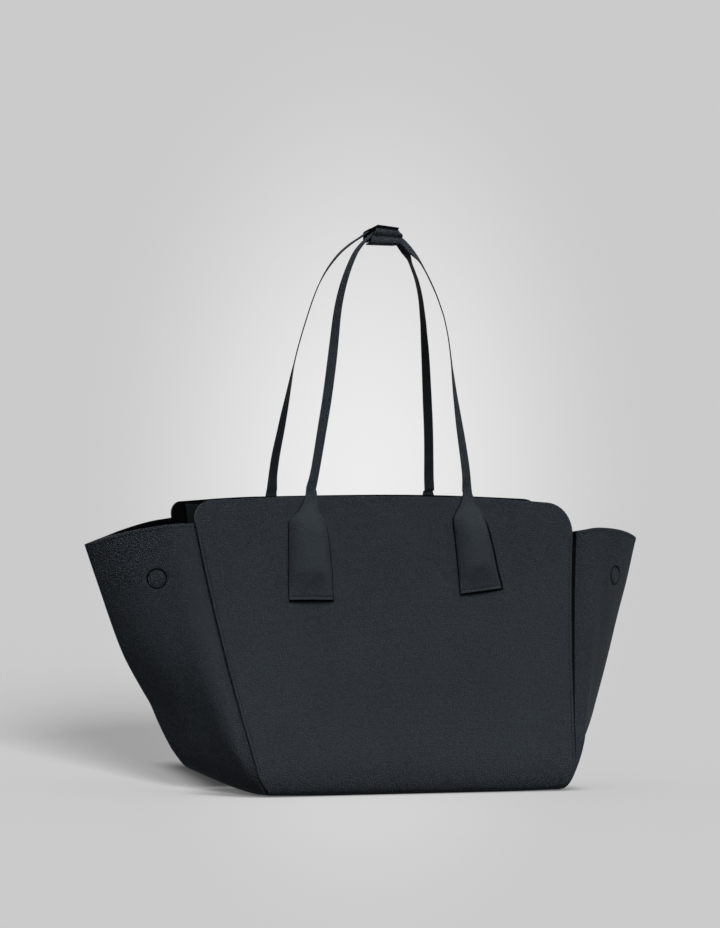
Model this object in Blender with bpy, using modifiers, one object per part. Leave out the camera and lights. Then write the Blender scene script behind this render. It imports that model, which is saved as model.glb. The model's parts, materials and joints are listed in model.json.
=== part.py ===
"""Leather tote bag with side wings folded outwards, two long strap handles and a keeper that gathers them.

Metres, +Z up. The front faces -Y, +X is to the right seen from the front, and the origin lies on the floor
under the middle of the bag. Every sewn or set-in piece is its own object.
"""

import math

import bmesh
import bpy
from mathutils import Matrix, Vector

# Driving sizes of the body
PANEL_HEIGHT = 0.280  # floor to the top corners of the front and back panels
TOP_ARCH = 0.005  # rise of a panel's top edge between its corners
BASE_WIDTH = 0.338  # panels' width at the floor
TOP_WIDTH = 0.416  # panels' width at the top
SIDE_BELLY = 0.001  # how far a panel's side edge bows outwards half way up
BASE_DEPTH = 0.166  # front to back at the floor
MOUTH_AT_CORNERS = 0.062  # front to back between the panels' top corners
MOUTH_AT_MIDDLE = 0.086  # front to back in the middle of the mouth
SIDE_DRAW = 0.008  # how far the gussets draw a panel's side edges in, half way up
PANEL_FULLNESS = 0.0015  # how much less the middle of a panel is drawn in than its side edges
LEAN_BACK = 0.030  # how far the mouth sits behind the base
TOP_CORNER_RADIUS = 0.022
BOTTOM_EDGE_RADIUS = 0.008  # round of the leather where a panel turns under the base
BOTTOM_TURN = 0.012  # width of the strip that a panel turns under the base

# The soft base, which curls up off the floor at its ends
BASE_POINT = 0.042  # how far the base's pointed ends reach past the panels
FLAT_SHARE = 0.55  # share of the half width that lies flat
FRONT_CORNER_LIFT = 0.001
END_LIFT = 0.022

# Wings, each one gusset sheet folded down its middle
WING_SPAN = 0.604  # wing tip to wing tip
WING_TIP_HEIGHT = 0.239
FRONT_SEAM_HEIGHT = 0.254  # top of a gusset where it is sewn to the front panel
BACK_SEAM_HEIGHT = 0.262
WING_RIM_ARCH = 0.003
WING_PUFF = 0.015  # how far each half of a wing bulges from flat
PUFF_FULL_SHARE = 0.6  # height share of a wing from which it bulges fully
RIDGE_BELLY = 0.007  # how far the fold bows outwards half way up
RIDGE_SET_BACK = 0.011  # how far the fold bows backwards half way up
SEAM_LAP = 0.005  # how far a gusset's edge runs in behind a panel's edge
SEAM_GAP = 0.0006  # gap between a gusset and the back of the panel that it is sewn to
SEAM_CLEAR = 0.0015  # how far past the panel's edge a gusset stays behind it

BASE_CLEAR = 0.0008  # a gusset's lower edge above the base's inner face

# Thickness of each layer, and the gap kept between touching pieces
PANEL_LEATHER = 0.0020
GUSSET_LEATHER = 0.0018
BASE_LEATHER = 0.0025
BOARD_THICKNESS = 0.0020
PATCH_THICKNESS = 0.0008
LINING_THICKNESS = 0.0008
GAP = 0.0003

# Linings and pocket
LINING_SIDE_MARGIN = 0.016
LINING_TOP_MARGIN = 0.004
LINING_BOTTOM_HEIGHT = 0.014
BASE_SHEET_MARGIN = 0.014  # base board and base lining stop this far inside the base's outline
POCKET_WIDTH = 0.170
POCKET_TOP_HEIGHT = 0.235
POCKET_BOTTOM_HEIGHT = 0.110
POCKET_FULLNESS = 0.0025

# Handle tabs
LEG_SPACING = 0.171  # centre to centre of one handle's two legs
NECK_WIDTH = 0.0125
SHOULDER_WIDTH = 0.037
SHOULDER_DROP = 0.025  # panel's top edge down to the tab's shoulder
TAB_FOOT_WIDTH = 0.049
TAB_DROP = 0.104  # panel's top edge down to the tab's lower end
TAB_SPLAY = 0.0065  # how far a tab's lower end lies outside its neck
TAB_LEATHER = 0.0018
NECK_LEATHER = 0.0014
TAB_CROWN = 0.0070  # how far the filler raises the middle of a tab
TAB_FOOT_CROWN = 0.0045
CROWN_FULL_SHARE = 1.6  # depth at which the crown is full, in shares of the shoulder's depth
CROWN_FALL_SHARE = 0.6  # share of the tab's depth from which its crown falls again
NECK_CURVE = 1.35  # how hollow the line from the neck to the shoulder is
NECK_RISE = 0.004  # how far the neck stands above the panel's top edge
FILLER_MARGIN = 0.006
PATCH_WIDTH = 0.075
PATCH_TOP_DROP = 0.022
PATCH_BOTTOM_DROP = 0.102

# Handles and the keeper that gathers them
STRAP_WIDTH = 0.009
STRAP_THICKNESS = 0.0016
STRAP_FOOT_LENGTH = 0.016  # the strap narrows from the neck's width over this length
FOOT_TILT = 57  # degrees from upright of the line from a neck's outer corner to the middle of the strap's end
FOOT_TAPER = 0.3  # thickness left at the rounded end of the strap
HANDLE_TOP_HEIGHT = 0.545
HANDLE_SHOULDER = 0.039  # half width of the curve's upper control points
HANDLE_LEG_RISE = 0.189  # height of the lower control points above the foot
FRONT_LEG_INSET = 0.026  # how far those points lie inside the feet
BACK_LEG_INSET = 0.0105
FRONT_LEG_SWAY = -0.007  # how far behind the feet they lie
BACK_LEG_SWAY = -0.0215
TURN_START = 0.08  # share of a leg's curve at which its strap starts to turn edge-on
FRONT_TURN_END = 0.54
BACK_TURN_END = 0.43
FRONT_CROWN_Y = 0.009
BACK_CROWN_Y = 0.020
KEEPER_LENGTH = 0.032
KEEPER_LEATHER = 0.0013
KEEPER_INNER_HEIGHT = 0.0112
KEEPER_SLACK = 0.0025  # room between the keeper and the straps' edges
KEEPER_DROOP = 0.002  # how far the keeper's ends hang below its middle
KEEPER_EDGE = 0.0008  # bevel of the keeper's long edges
KEEPER_FLAP_TURN = 0.012  # how far the flap turns under the keeper
KEEPER_MAGNET_RADIUS = 0.004
KEEPER_MAGNET_THICKNESS = 0.0008

# Wing closures
MAGNET_RADIUS = 0.0075
MAGNET_THICKNESS = 0.0020
MAGNET_HEIGHT_SHARE = 0.82  # place up the gusset
MAGNET_ACROSS_SHARE = 0.50  # place between the seam and the fold
MAGNET_SEAT = 0.0011  # gap between a flat magnet and the curved leather
COVER_RADIUS = 0.0130
COVER_LEATHER = 0.0011
COVER_RIM_SEAT = 0.0020

FRONT, BACK = -1, 1
LEFT, RIGHT = -1, 1
PANEL_ROWS = 9
GUSSET_COLUMNS = 8
GUSSET_ROWS = (0.0, 0.06, 0.14, 0.26, 0.4, 0.55, 0.7, 0.85, 0.94, 1.0)  # height shares, closer at both ends
HANDLE_SECTIONS = 44


def mix(start, end, share):
    return start + (end - start) * share


def hump(share):
    """0 at both ends and 1 half way."""
    return 4 * share * (1 - share)


def smooth(value):
    value = min(max(value, 0.0), 1.0)
    return value * value * (3 - 2 * value)


def evenly(start, end, steps):
    return [mix(start, end, i / steps) for i in range(steps + 1)]


# The body's shape. A panel point is given by its share of the half width, across, and its share of the
# height, up. Depth is measured into the bag from the panel's outer face.


def base_lift(across, along):
    """Height of the curled base above the floor. along runs from -1 at the front to 1 at the back."""
    end = smooth((abs(across) - FLAT_SHARE) / (1 - FLAT_SHARE)) if abs(across) < 1 else 1.0
    return end * mix(FRONT_CORNER_LIFT, END_LIFT, smooth(along + 1))


def panel_foot(face, across):
    """Height at which a panel's wall starts, above the round of its bottom edge."""
    return BOTTOM_EDGE_RADIUS + base_lift(across, face)


def panel_half_width(up):
    return mix(BASE_WIDTH, TOP_WIDTH, up) / 2 + SIDE_BELLY * hump(up)


def mouth_centre(up):
    return LEAN_BACK * up


def panel_face(face, across, up):
    """Point on the outer face of the front or back panel."""
    edge = mix(BASE_DEPTH, MOUTH_AT_CORNERS, up) / 2 - SIDE_DRAW * hump(up)
    top_bow = (MOUTH_AT_MIDDLE - MOUTH_AT_CORNERS) / 2
    bow = top_bow * up + PANEL_FULLNESS * hump(up)
    foot = panel_foot(face, across)
    return Vector((
        across * panel_half_width(up),
        face * (edge + bow * (1 - across * across)) + mouth_centre(up),
        mix(foot, PANEL_HEIGHT, up),
    ))


def panel_point(face, across, up, depth):
    """Point at a depth below a panel's outer face. A negative depth lies in front of it."""
    step = 0.001
    right = panel_face(face, across + step, up) - panel_face(face, across - step, up)
    rise = panel_face(face, across, up + step) - panel_face(face, across, up - step)
    outward = right.cross(rise).normalized()
    if outward.y * face < 0:
        outward.negate()
    return panel_face(face, across, up) - outward * depth


def panel_top(across):
    """Height of a panel's top edge, with its rounded corners."""
    half = TOP_WIDTH / 2
    into_corner = abs(across) * half - (half - TOP_CORNER_RADIUS)
    drop = 0.0
    if into_corner > 0:
        drop = TOP_CORNER_RADIUS - math.sqrt(max(TOP_CORNER_RADIUS**2 - into_corner**2, 0.0))
    return PANEL_HEIGHT + TOP_ARCH * (1 - across * across) - drop


def up_at(face, across, height):
    foot = panel_foot(face, across)
    return (height - foot) / (PANEL_HEIGHT - foot)


def on_panel(face, x, height, depth):
    """Point at a place x, height on a panel, for pieces that lie on it."""
    up = up_at(face, x / panel_half_width(height / PANEL_HEIGHT), height)
    return panel_point(face, x / panel_half_width(up), up, depth)


def half_end(y):
    """Half length of the base at a place front to back, with its pointed ends."""
    return BASE_WIDTH / 2 + BASE_POINT * (1 - abs(y) / (BASE_DEPTH / 2))


def lift_at(x, y):
    return base_lift(x / (BASE_WIDTH / 2), y / (BASE_DEPTH / 2))


def above_base(x, y, height):
    """Point at a height above the base's lower face, measured square to it."""
    step = 0.002
    slope_x = (lift_at(x + step, y) - lift_at(x - step, y)) / (2 * step)
    slope_y = (lift_at(x, y + step) - lift_at(x, y - step)) / (2 * step)
    square = Vector((-slope_x, -slope_y, 1.0)).normalized()
    return Vector((x, y, lift_at(x, y))) + square * height


def clear_of_floor(y):
    """Least height above the lifted floor line that clears the base and the turned edge's round."""
    past_round = abs(y) - (BASE_DEPTH / 2 - BOTTOM_EDGE_RADIUS)
    inner = BOTTOM_EDGE_RADIUS - PANEL_LEATHER - GAP
    if past_round <= 0:
        return BASE_LEATHER + BASE_CLEAR
    past_edge = BOTTOM_EDGE_RADIUS - math.sqrt(max(inner**2 - past_round**2, 0.0))
    return max(BASE_LEATHER + BASE_CLEAR, past_edge)


def gusset_point(side, face, across, up):
    """Point on the outer face of a wing. across runs from 0 beside the seam to 1 on the fold."""
    seam_height = FRONT_SEAM_HEIGHT if face == FRONT else BACK_SEAM_HEIGHT
    seam_up_to = up_at(face, 1.0, seam_height)
    seam_reach = BASE_DEPTH / 2 - PANEL_LEATHER - SEAM_GAP
    low = base_lift(1.0, face) + clear_of_floor(seam_reach)
    panel_up = mix(up_at(face, 1.0, low), seam_up_to, up)
    beside = 1 + SEAM_CLEAR / panel_half_width(panel_up)
    seam = panel_point(face, side * beside, panel_up, PANEL_LEATHER + SEAM_GAP)
    seam.y = min(max(seam.y, -seam_reach), seam_reach)
    seam.z = mix(low, seam_height, up)
    fold = Vector((
        side * (mix(BASE_WIDTH / 2 + BASE_POINT - SEAM_CLEAR, WING_SPAN / 2, up) + RIDGE_BELLY * hump(up)),
        LEAN_BACK * up + RIDGE_SET_BACK * hump(up),
        mix(base_lift(1.0, 0.0) + clear_of_floor(0.0), WING_TIP_HEIGHT, up),
    ))
    point = seam.lerp(fold, across)
    chord = fold - seam
    outward = Vector((side * abs(chord.y), face * abs(chord.x), 0.0)).normalized()
    point += outward * WING_PUFF * smooth(up / PUFF_FULL_SHARE) * hump(across)
    point.z += WING_RIM_ARCH * hump(across) * up**4
    if up == 0.0:
        point.z = base_lift(1.0, point.y / (BASE_DEPTH / 2)) + clear_of_floor(point.y)
    return point


def gusset_seam_edge(side, face, up):
    """The gusset's hidden edge, sewn in behind the panel."""
    beside = gusset_point(side, face, 0.0, up)
    panel_up = up_at(face, 1.0, beside.z)
    within = 1 - SEAM_LAP / panel_half_width(panel_up)
    edge = panel_point(face, side * within, panel_up, PANEL_LEATHER + SEAM_GAP)
    edge.z = beside.z
    if up == 0.0:
        edge.y = beside.y
    return edge


# Mesh helpers


def new_object(name, mesh, material, collection, origin=Vector()):
    mesh.transform(Matrix.Translation(-origin))
    mesh.materials.append(material)
    thing = bpy.data.objects.new(name, mesh)
    thing.location = origin
    collection.objects.link(thing)
    return thing


def faces_of_grid(builder, grid):
    for low, high in zip(grid, grid[1:]):
        for a, b, c, d in zip(low, low[1:], high[1:], high):
            builder.faces.new((a, b, c, d))


def sheet(name, rows, thickness, material, collection, inside, origin=Vector()):
    """A sheet given by rows of points on its outer face, thickened away from that face towards inside."""
    builder = bmesh.new()
    faces_of_grid(builder, [[builder.verts.new(point) for point in row] for row in rows])
    builder.faces.ensure_lookup_table()
    builder.normal_update()
    towards = sum((face.normal.dot(inside - face.calc_center_median()) for face in builder.faces), 0.0)
    if towards > 0:
        bmesh.ops.reverse_faces(builder, faces=builder.faces)
    mesh = bpy.data.meshes.new(name)
    builder.to_mesh(mesh)
    builder.free()
    thing = new_object(name, mesh, material, collection, origin)
    solidify = thing.modifiers.new("Thickness", "SOLIDIFY")
    solidify.thickness = thickness
    solidify.offset = -1
    solidify.use_even_offset = True
    solidify.use_quality_normals = True
    mesh.shade_smooth()
    mesh.set_sharp_from_angle(angle=math.radians(35))
    return thing


def slab(name, outer, inner, material, collection, origin=Vector()):
    """A closed solid between two grids of points, for a piece whose thickness varies."""
    builder = bmesh.new()
    top = [[builder.verts.new(point) for point in row] for row in outer]
    bottom = [[builder.verts.new(point) for point in row] for row in inner]
    faces_of_grid(builder, top)
    faces_of_grid(builder, [row[::-1] for row in bottom])

    def rim(grid):
        last = [row[-1] for row in grid[1:-1]]
        first = [row[0] for row in grid[1:-1]]
        return grid[0] + last + grid[-1][::-1] + first[::-1]

    upper, lower = rim(top), rim(bottom)
    for i in range(len(upper)):
        builder.faces.new((upper[i], upper[i - 1], lower[i - 1], lower[i]))
    bmesh.ops.recalc_face_normals(builder, faces=builder.faces)
    mesh = bpy.data.meshes.new(name)
    builder.to_mesh(mesh)
    builder.free()
    mesh.shade_smooth()
    mesh.set_sharp_from_angle(angle=math.radians(35))
    return new_object(name, mesh, material, collection, origin)


def box(name, size, centre, material, collection):
    builder = bmesh.new()
    bmesh.ops.create_cube(builder, size=1.0, matrix=Matrix.Diagonal((*size, 1.0)))
    mesh = bpy.data.meshes.new(name)
    builder.to_mesh(mesh)
    builder.free()
    thing = new_object(name, mesh, material, collection)
    thing.location = centre
    return thing


def disc(name, radius, thickness, centre, normal, material, collection, sides=24):
    """A flat round piece, its axis along normal."""
    builder = bmesh.new()
    bmesh.ops.create_cone(
        builder, cap_ends=True, segments=sides, radius1=radius, radius2=radius, depth=thickness
    )
    mesh = bpy.data.meshes.new(name)
    builder.to_mesh(mesh)
    builder.free()
    mesh.transform(normal.to_track_quat("Z", "Y").to_matrix().to_4x4())
    thing = new_object(name, mesh, material, collection)
    thing.location = centre
    mesh.shade_smooth()
    mesh.set_sharp_from_angle(angle=math.radians(35))
    return thing


def turned(name, profile, centre, normal, material, collection, sides=20):
    """A turned piece from a profile of (radius, height) pairs, its axis along normal."""
    builder = bmesh.new()
    points = [builder.verts.new((radius, 0.0, height)) for radius, height in profile]
    for a, b in zip(points, points[1:]):
        builder.edges.new((a, b))
    mesh = bpy.data.meshes.new(name)
    builder.to_mesh(mesh)
    builder.free()
    thing = new_object(name, mesh, material, collection)
    thing.rotation_euler = normal.to_track_quat("Z", "Y").to_euler()
    thing.location = centre
    screw = thing.modifiers.new("Turn", "SCREW")
    screw.axis = "Z"
    screw.steps = screw.render_steps = sides
    screw.use_merge_vertices = True
    screw.merge_threshold = 0.00001
    return thing


def leather(name, colour, roughness, metallic=0.0):
    material = bpy.data.materials.new(name)
    material.use_nodes = True
    shader = material.node_tree.nodes["Principled BSDF"]
    shader.inputs["Base Color"].default_value = (*colour, 1.0)
    shader.inputs["Roughness"].default_value = roughness
    shader.inputs["Metallic"].default_value = metallic
    return material


# Pieces


def panel_columns():
    """Shares of the half width for a panel's columns, closer together round the top corners."""
    half = TOP_WIDTH / 2
    straight = (half - TOP_CORNER_RADIUS) / half
    corner = [straight + (1 - straight) * math.sin(math.radians(angle)) for angle in (22.5, 45, 67.5, 90)]
    right = evenly(0.0, straight, 6) + corner
    return [-share for share in right[:0:-1]] + right


def make_panel(face, material, collection):
    name = "front_panel" if face == FRONT else "back_panel"
    columns = panel_columns()
    rows = []
    edge = BASE_DEPTH / 2 - BOTTOM_EDGE_RADIUS
    turn_end = BASE_DEPTH / 2 - BOTTOM_TURN
    for y in (turn_end, edge):
        rows.append([
            Vector((across * BASE_WIDTH / 2, face * y, base_lift(across, face * y / (BASE_DEPTH / 2))))
            for across in columns
        ])
    for angle in (30, 60):
        turn = math.radians(angle)
        y = edge + BOTTOM_EDGE_RADIUS * math.sin(turn)
        rise = BOTTOM_EDGE_RADIUS * (1 - math.cos(turn))
        rows.append([
            Vector((across * BASE_WIDTH / 2, face * y, rise + base_lift(across, face * y / (BASE_DEPTH / 2))))
            for across in columns
        ])
    for share in evenly(0.0, 1.0, PANEL_ROWS):
        row = []
        for across in columns:
            top = up_at(face, across, panel_top(across))
            row.append(panel_face(face, across, top * share))
        rows.append(row)
    middle = Vector((0.0, LEAN_BACK / 2, PANEL_HEIGHT / 2))
    return sheet(name, rows, PANEL_LEATHER, material, collection, middle)


def base_rows(half_depth, margin, height):
    """Rows of points across the base, margin inside its outline."""
    rows = []
    for y in evenly(-half_depth, half_depth, 10):
        flat = FLAT_SHARE * BASE_WIDTH / 2
        right = evenly(0.0, flat, 2) + evenly(flat, half_end(y) - margin, 8)[1:]
        rows.append([above_base(x, y, height) for x in [-x for x in right[:0:-1]] + right])
    return rows


def make_base(leathers, collection):
    above = Vector((0.0, 0.0, PANEL_HEIGHT))
    half = BASE_DEPTH / 2 - BOTTOM_TURN - GAP
    sheet("base_panel", base_rows(half, 0.0, 0.0), BASE_LEATHER, leathers["outer"], collection, above)
    half = BASE_DEPTH / 2 - BASE_SHEET_MARGIN
    board = BASE_LEATHER + GAP
    size = (FLAT_SHARE * BASE_WIDTH - 2 * GAP, 2 * half, BOARD_THICKNESS)
    box("base_board", size, Vector((0.0, 0.0, board + BOARD_THICKNESS / 2)), leathers["board"], collection)
    lining = board + BOARD_THICKNESS + GAP
    rows = base_rows(half, BASE_SHEET_MARGIN, lining)
    sheet("base_lining", rows, LINING_THICKNESS, leathers["lining"], collection, above)


def gusset_row(side, up):
    """One row of a gusset from the front seam round the fold to the back seam."""
    front = [gusset_seam_edge(side, FRONT, up)]
    front += [gusset_point(side, FRONT, share, up) for share in evenly(0.0, 1.0, GUSSET_COLUMNS)]
    back = [gusset_seam_edge(side, BACK, up)]
    back += [gusset_point(side, BACK, share, up) for share in evenly(0.0, 1.0, GUSSET_COLUMNS)]
    return front + back[-2::-1]


def make_gusset(side, material, collection):
    name = "left_gusset" if side == LEFT else "right_gusset"
    rows = [gusset_row(side, up) for up in GUSSET_ROWS]
    middle = Vector((0.0, LEAN_BACK / 2, PANEL_HEIGHT / 2))
    return sheet(name, rows, GUSSET_LEATHER, material, collection, middle)


def lining_depth():
    return PANEL_LEATHER + GAP + PATCH_THICKNESS + GAP


def make_lining(face, material, collection):
    name = "front_lining" if face == FRONT else "back_lining"
    rows = []
    for share in evenly(0.0, 1.0, 8):
        row = []
        for place in evenly(-1.0, 1.0, 14):
            height = mix(LINING_BOTTOM_HEIGHT + BOTTOM_EDGE_RADIUS, PANEL_HEIGHT - LINING_TOP_MARGIN, share)
            up = height / PANEL_HEIGHT
            across = place * (panel_half_width(up) - LINING_SIDE_MARGIN) / panel_half_width(up)
            low = base_lift(across, face) * (1 - share)
            row.append(panel_point(face, across, up_at(face, across, height + low), lining_depth()))
        rows.append(row)
    return sheet(name, rows, LINING_THICKNESS, material, collection, Vector((0.0, LEAN_BACK / 2, 0.14)))


def make_pocket(material, collection):
    depth = lining_depth() + LINING_THICKNESS + GAP
    rows = []
    for share in evenly(0.0, 1.0, 6):
        height = mix(POCKET_BOTTOM_HEIGHT, POCKET_TOP_HEIGHT, share)
        row = []
        for place in evenly(-1.0, 1.0, 8):
            fullness = POCKET_FULLNESS * share * (1 - place**2)
            row.append(on_panel(BACK, place * POCKET_WIDTH / 2, height, depth + fullness))
        rows.append(row)
    sheet("inner_pocket", rows, LINING_THICKNESS, material, collection, Vector((0.0, 0.0, 0.17)))


def tab_half_width(drop):
    """Half width of the bottle-shaped tab at a distance below the panel's top edge."""
    if drop <= 0:
        return NECK_WIDTH / 2
    if drop < SHOULDER_DROP:
        share = drop / SHOULDER_DROP
        return mix(NECK_WIDTH, SHOULDER_WIDTH, share**NECK_CURVE) / 2
    return mix(SHOULDER_WIDTH, TAB_FOOT_WIDTH, (drop - SHOULDER_DROP) / (TAB_DROP - SHOULDER_DROP)) / 2


def tab_crown(drop):
    """Height of the tab's middle above its edges."""
    rising = TAB_CROWN * smooth(drop / (CROWN_FULL_SHARE * SHOULDER_DROP))
    falling = smooth((drop / TAB_DROP - CROWN_FALL_SHARE) / (1 - CROWN_FALL_SHARE))
    return rising - (TAB_CROWN - TAB_FOOT_CROWN) * falling


def tab_leather(drop):
    return mix(NECK_LEATHER, TAB_LEATHER, smooth(drop / SHOULDER_DROP))


def tab_point(face, leg, place, drop, lift):
    x = leg * (LEG_SPACING / 2 + TAB_SPLAY * max(drop, 0.0) / TAB_DROP) + place * tab_half_width(drop)
    rim = panel_top(LEG_SPACING / TOP_WIDTH)
    return on_panel(face, x, rim - drop, -lift)


def tab_name(face, leg):
    return ("front" if face == FRONT else "back") + ("_left" if leg == LEFT else "_right")


def make_tab(face, leg, leathers, collection):
    drops = [-NECK_RISE, 0.0, 0.4 * SHOULDER_DROP, 0.75 * SHOULDER_DROP]
    drops += evenly(SHOULDER_DROP, TAB_DROP, 7)
    places = evenly(-1.0, 1.0, 10)
    outer, inner = [], []
    for drop in drops:
        crowns = [tab_crown(drop) * (1 - place**2) for place in places]
        thickness = tab_leather(drop)
        pairs = list(zip(places, crowns))
        outer.append([tab_point(face, leg, place, drop, GAP + crown + thickness) for place, crown in pairs])
        inner.append([tab_point(face, leg, place, drop, GAP + crown) for place, crown in pairs])
    slab(tab_name(face, leg) + "_tab", outer, inner, leathers["outer"], collection)

    outer, inner = [], []
    for drop in evenly(SHOULDER_DROP, TAB_DROP - FILLER_MARGIN, 6):
        reach = (tab_half_width(drop) - FILLER_MARGIN) / tab_half_width(drop)
        spots = evenly(-reach, reach, 6)
        crowns = [tab_crown(drop) * (1 - spot**2) for spot in spots]
        outer.append([tab_point(face, leg, spot, drop, crown) for spot, crown in zip(spots, crowns)])
        inner.append([tab_point(face, leg, spot, drop, GAP) for spot in spots])
    slab(tab_name(face, leg) + "_tab_filler", outer, inner, leathers["felt"], collection)

    rows = []
    rim = panel_top(LEG_SPACING / TOP_WIDTH)
    for drop in evenly(PATCH_TOP_DROP, PATCH_BOTTOM_DROP, 4):
        centre = leg * (LEG_SPACING / 2 + TAB_SPLAY * drop / TAB_DROP)
        spots = evenly(centre - PATCH_WIDTH / 2, centre + PATCH_WIDTH / 2, 4)
        rows.append([on_panel(face, x, rim - drop, PANEL_LEATHER + GAP) for x in spots])
    inside = Vector((0.0, LEAN_BACK / 2, PANEL_HEIGHT / 2))
    sheet(tab_name(face, leg) + "_tab_patch", rows, PATCH_THICKNESS, leathers["felt"], collection, inside)


def handle_pivot(face):
    """The line across a handle's two feet, about which the handle swings."""
    rim = panel_top(LEG_SPACING / TOP_WIDTH)
    reach = STRAP_THICKNESS / 2 + GAP
    lift = GAP + NECK_LEATHER + reach * math.sin(math.radians(FOOT_TILT))
    rise = NECK_RISE + reach * math.cos(math.radians(FOOT_TILT))
    foot = on_panel(face, LEG_SPACING / 2, rim + rise, -lift)
    return Vector((0.0, foot.y, foot.z))


def handle_curve(face, share):
    """Point on a handle's centre line, from the right foot at 0 over the crown at 1 to the left foot at 2."""
    side, along = (RIGHT, share) if share <= 1 else (LEFT, 2 - share)
    foot = handle_pivot(face)
    crown_y = FRONT_CROWN_Y if face == FRONT else BACK_CROWN_Y
    leg_inset = FRONT_LEG_INSET if face == FRONT else BACK_LEG_INSET
    leg_sway = FRONT_LEG_SWAY if face == FRONT else BACK_LEG_SWAY
    points = (
        Vector((side * LEG_SPACING / 2, foot.y, foot.z)),
        Vector((side * (LEG_SPACING / 2 - leg_inset), foot.y + leg_sway, foot.z + HANDLE_LEG_RISE)),
        Vector((side * HANDLE_SHOULDER, crown_y, HANDLE_TOP_HEIGHT)),
        Vector((0.0, crown_y, HANDLE_TOP_HEIGHT)),
    )
    rest = 1 - along
    weights = (rest**3, 3 * rest**2 * along, 3 * rest * along**2, along**3)
    return sum((point * weight for point, weight in zip(points, weights)), Vector())


def strap_section(face, share):
    """Corners of the strap's section: it faces forwards at the feet and turns to face outwards over the crown."""
    centre = handle_curve(face, share)
    step = 0.002
    low, high = max(share - step, 0.0), min(share + step, 2.0)
    tangent = (handle_curve(face, high) - handle_curve(face, low)).normalized()
    from_foot = (centre - handle_curve(face, 0.0 if share <= 1 else 2.0)).length
    at_foot = Vector((0.0, 0.0, math.copysign(1.0, tangent.z)))
    tangent = at_foot.lerp(tangent, smooth(from_foot / STRAP_FOOT_LENGTH)).normalized()
    along = share if share <= 1 else 2 - share
    turn_end = FRONT_TURN_END if face == FRONT else BACK_TURN_END
    turn = math.radians(90) * smooth((along - TURN_START) / (turn_end - TURN_START))
    forwards = Vector((0.0, float(face), 0.0))
    forwards -= tangent * forwards.dot(tangent)
    forwards.normalize()
    outwards = Vector((0.0, 1.0, 0.0)).cross(tangent).normalized()
    normal = (forwards * math.cos(turn) + outwards * math.sin(turn)).normalized()
    across = tangent.cross(normal)
    width = mix(NECK_WIDTH, STRAP_WIDTH, smooth(from_foot / STRAP_FOOT_LENGTH))
    wide, thin = across * width / 2, normal * STRAP_THICKNESS / 2
    return [centre - wide - thin, centre + wide - thin, centre + wide + thin, centre - wide + thin]


def make_handle(face, material, collection):
    name = "front_handle" if face == FRONT else "back_handle"
    pivot = handle_pivot(face)
    sections = [strap_section(face, share) for share in evenly(0.0, 2.0, HANDLE_SECTIONS)]
    builder = bmesh.new()

    def foot(section):
        """The strap's end, rounded about the pivot so that it can turn beside the tab's neck."""
        centre = sum(section, Vector()) / 4
        down = Vector((0.0, 0.0, -STRAP_THICKNESS / 2))
        return [centre + down + (corner - centre) * Vector((1.0, FOOT_TAPER, 1.0)) for corner in section]

    sections = [foot(sections[0])] + sections + [foot(sections[-1])]
    loops = [[builder.verts.new(corner) for corner in section] for section in sections]
    for low, high in zip(loops, loops[1:]):
        for i in range(4):
            builder.faces.new((low[i - 1], low[i], high[i], high[i - 1]))
    builder.faces.new(loops[0])
    builder.faces.new(loops[-1][::-1])
    bmesh.ops.recalc_face_normals(builder, faces=builder.faces)
    mesh = bpy.data.meshes.new(name)
    builder.to_mesh(mesh)
    builder.free()
    mesh.shade_smooth()
    mesh.set_sharp_from_angle(angle=math.radians(35))
    return new_object(name, mesh, material, collection, pivot)


def keeper_rows(profile):
    """Rows of points from a (front to back, height) profile, following the straps' droop along the keeper."""
    rows = []
    for share in evenly(-1.0, 1.0, 6):
        droop = KEEPER_DROOP * share * share
        x = share * KEEPER_LENGTH / 2
        rows.append([Vector((x, y, HANDLE_TOP_HEIGHT + z - droop)) for y, z in profile])
    return rows


def keeper_sizes():
    """Outer faces of the keeper's channel: front end, back, top and bottom."""
    strap_half = STRAP_WIDTH / 2
    front = FRONT_CROWN_Y - strap_half - KEEPER_SLACK
    back = BACK_CROWN_Y + strap_half + KEEPER_SLACK + KEEPER_LEATHER
    inner_top = STRAP_THICKNESS / 2 + GAP
    return front, back, inner_top + KEEPER_LEATHER, inner_top - KEEPER_INNER_HEIGHT - KEEPER_LEATHER


def keeper_pivot():
    """The line along the flap's upper edge, just in front of the channel's top."""
    front, _, top, _ = keeper_sizes()
    return Vector((0.0, front - GAP - KEEPER_LEATHER / 2, HANDLE_TOP_HEIGHT + top - KEEPER_LEATHER / 2))


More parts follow.
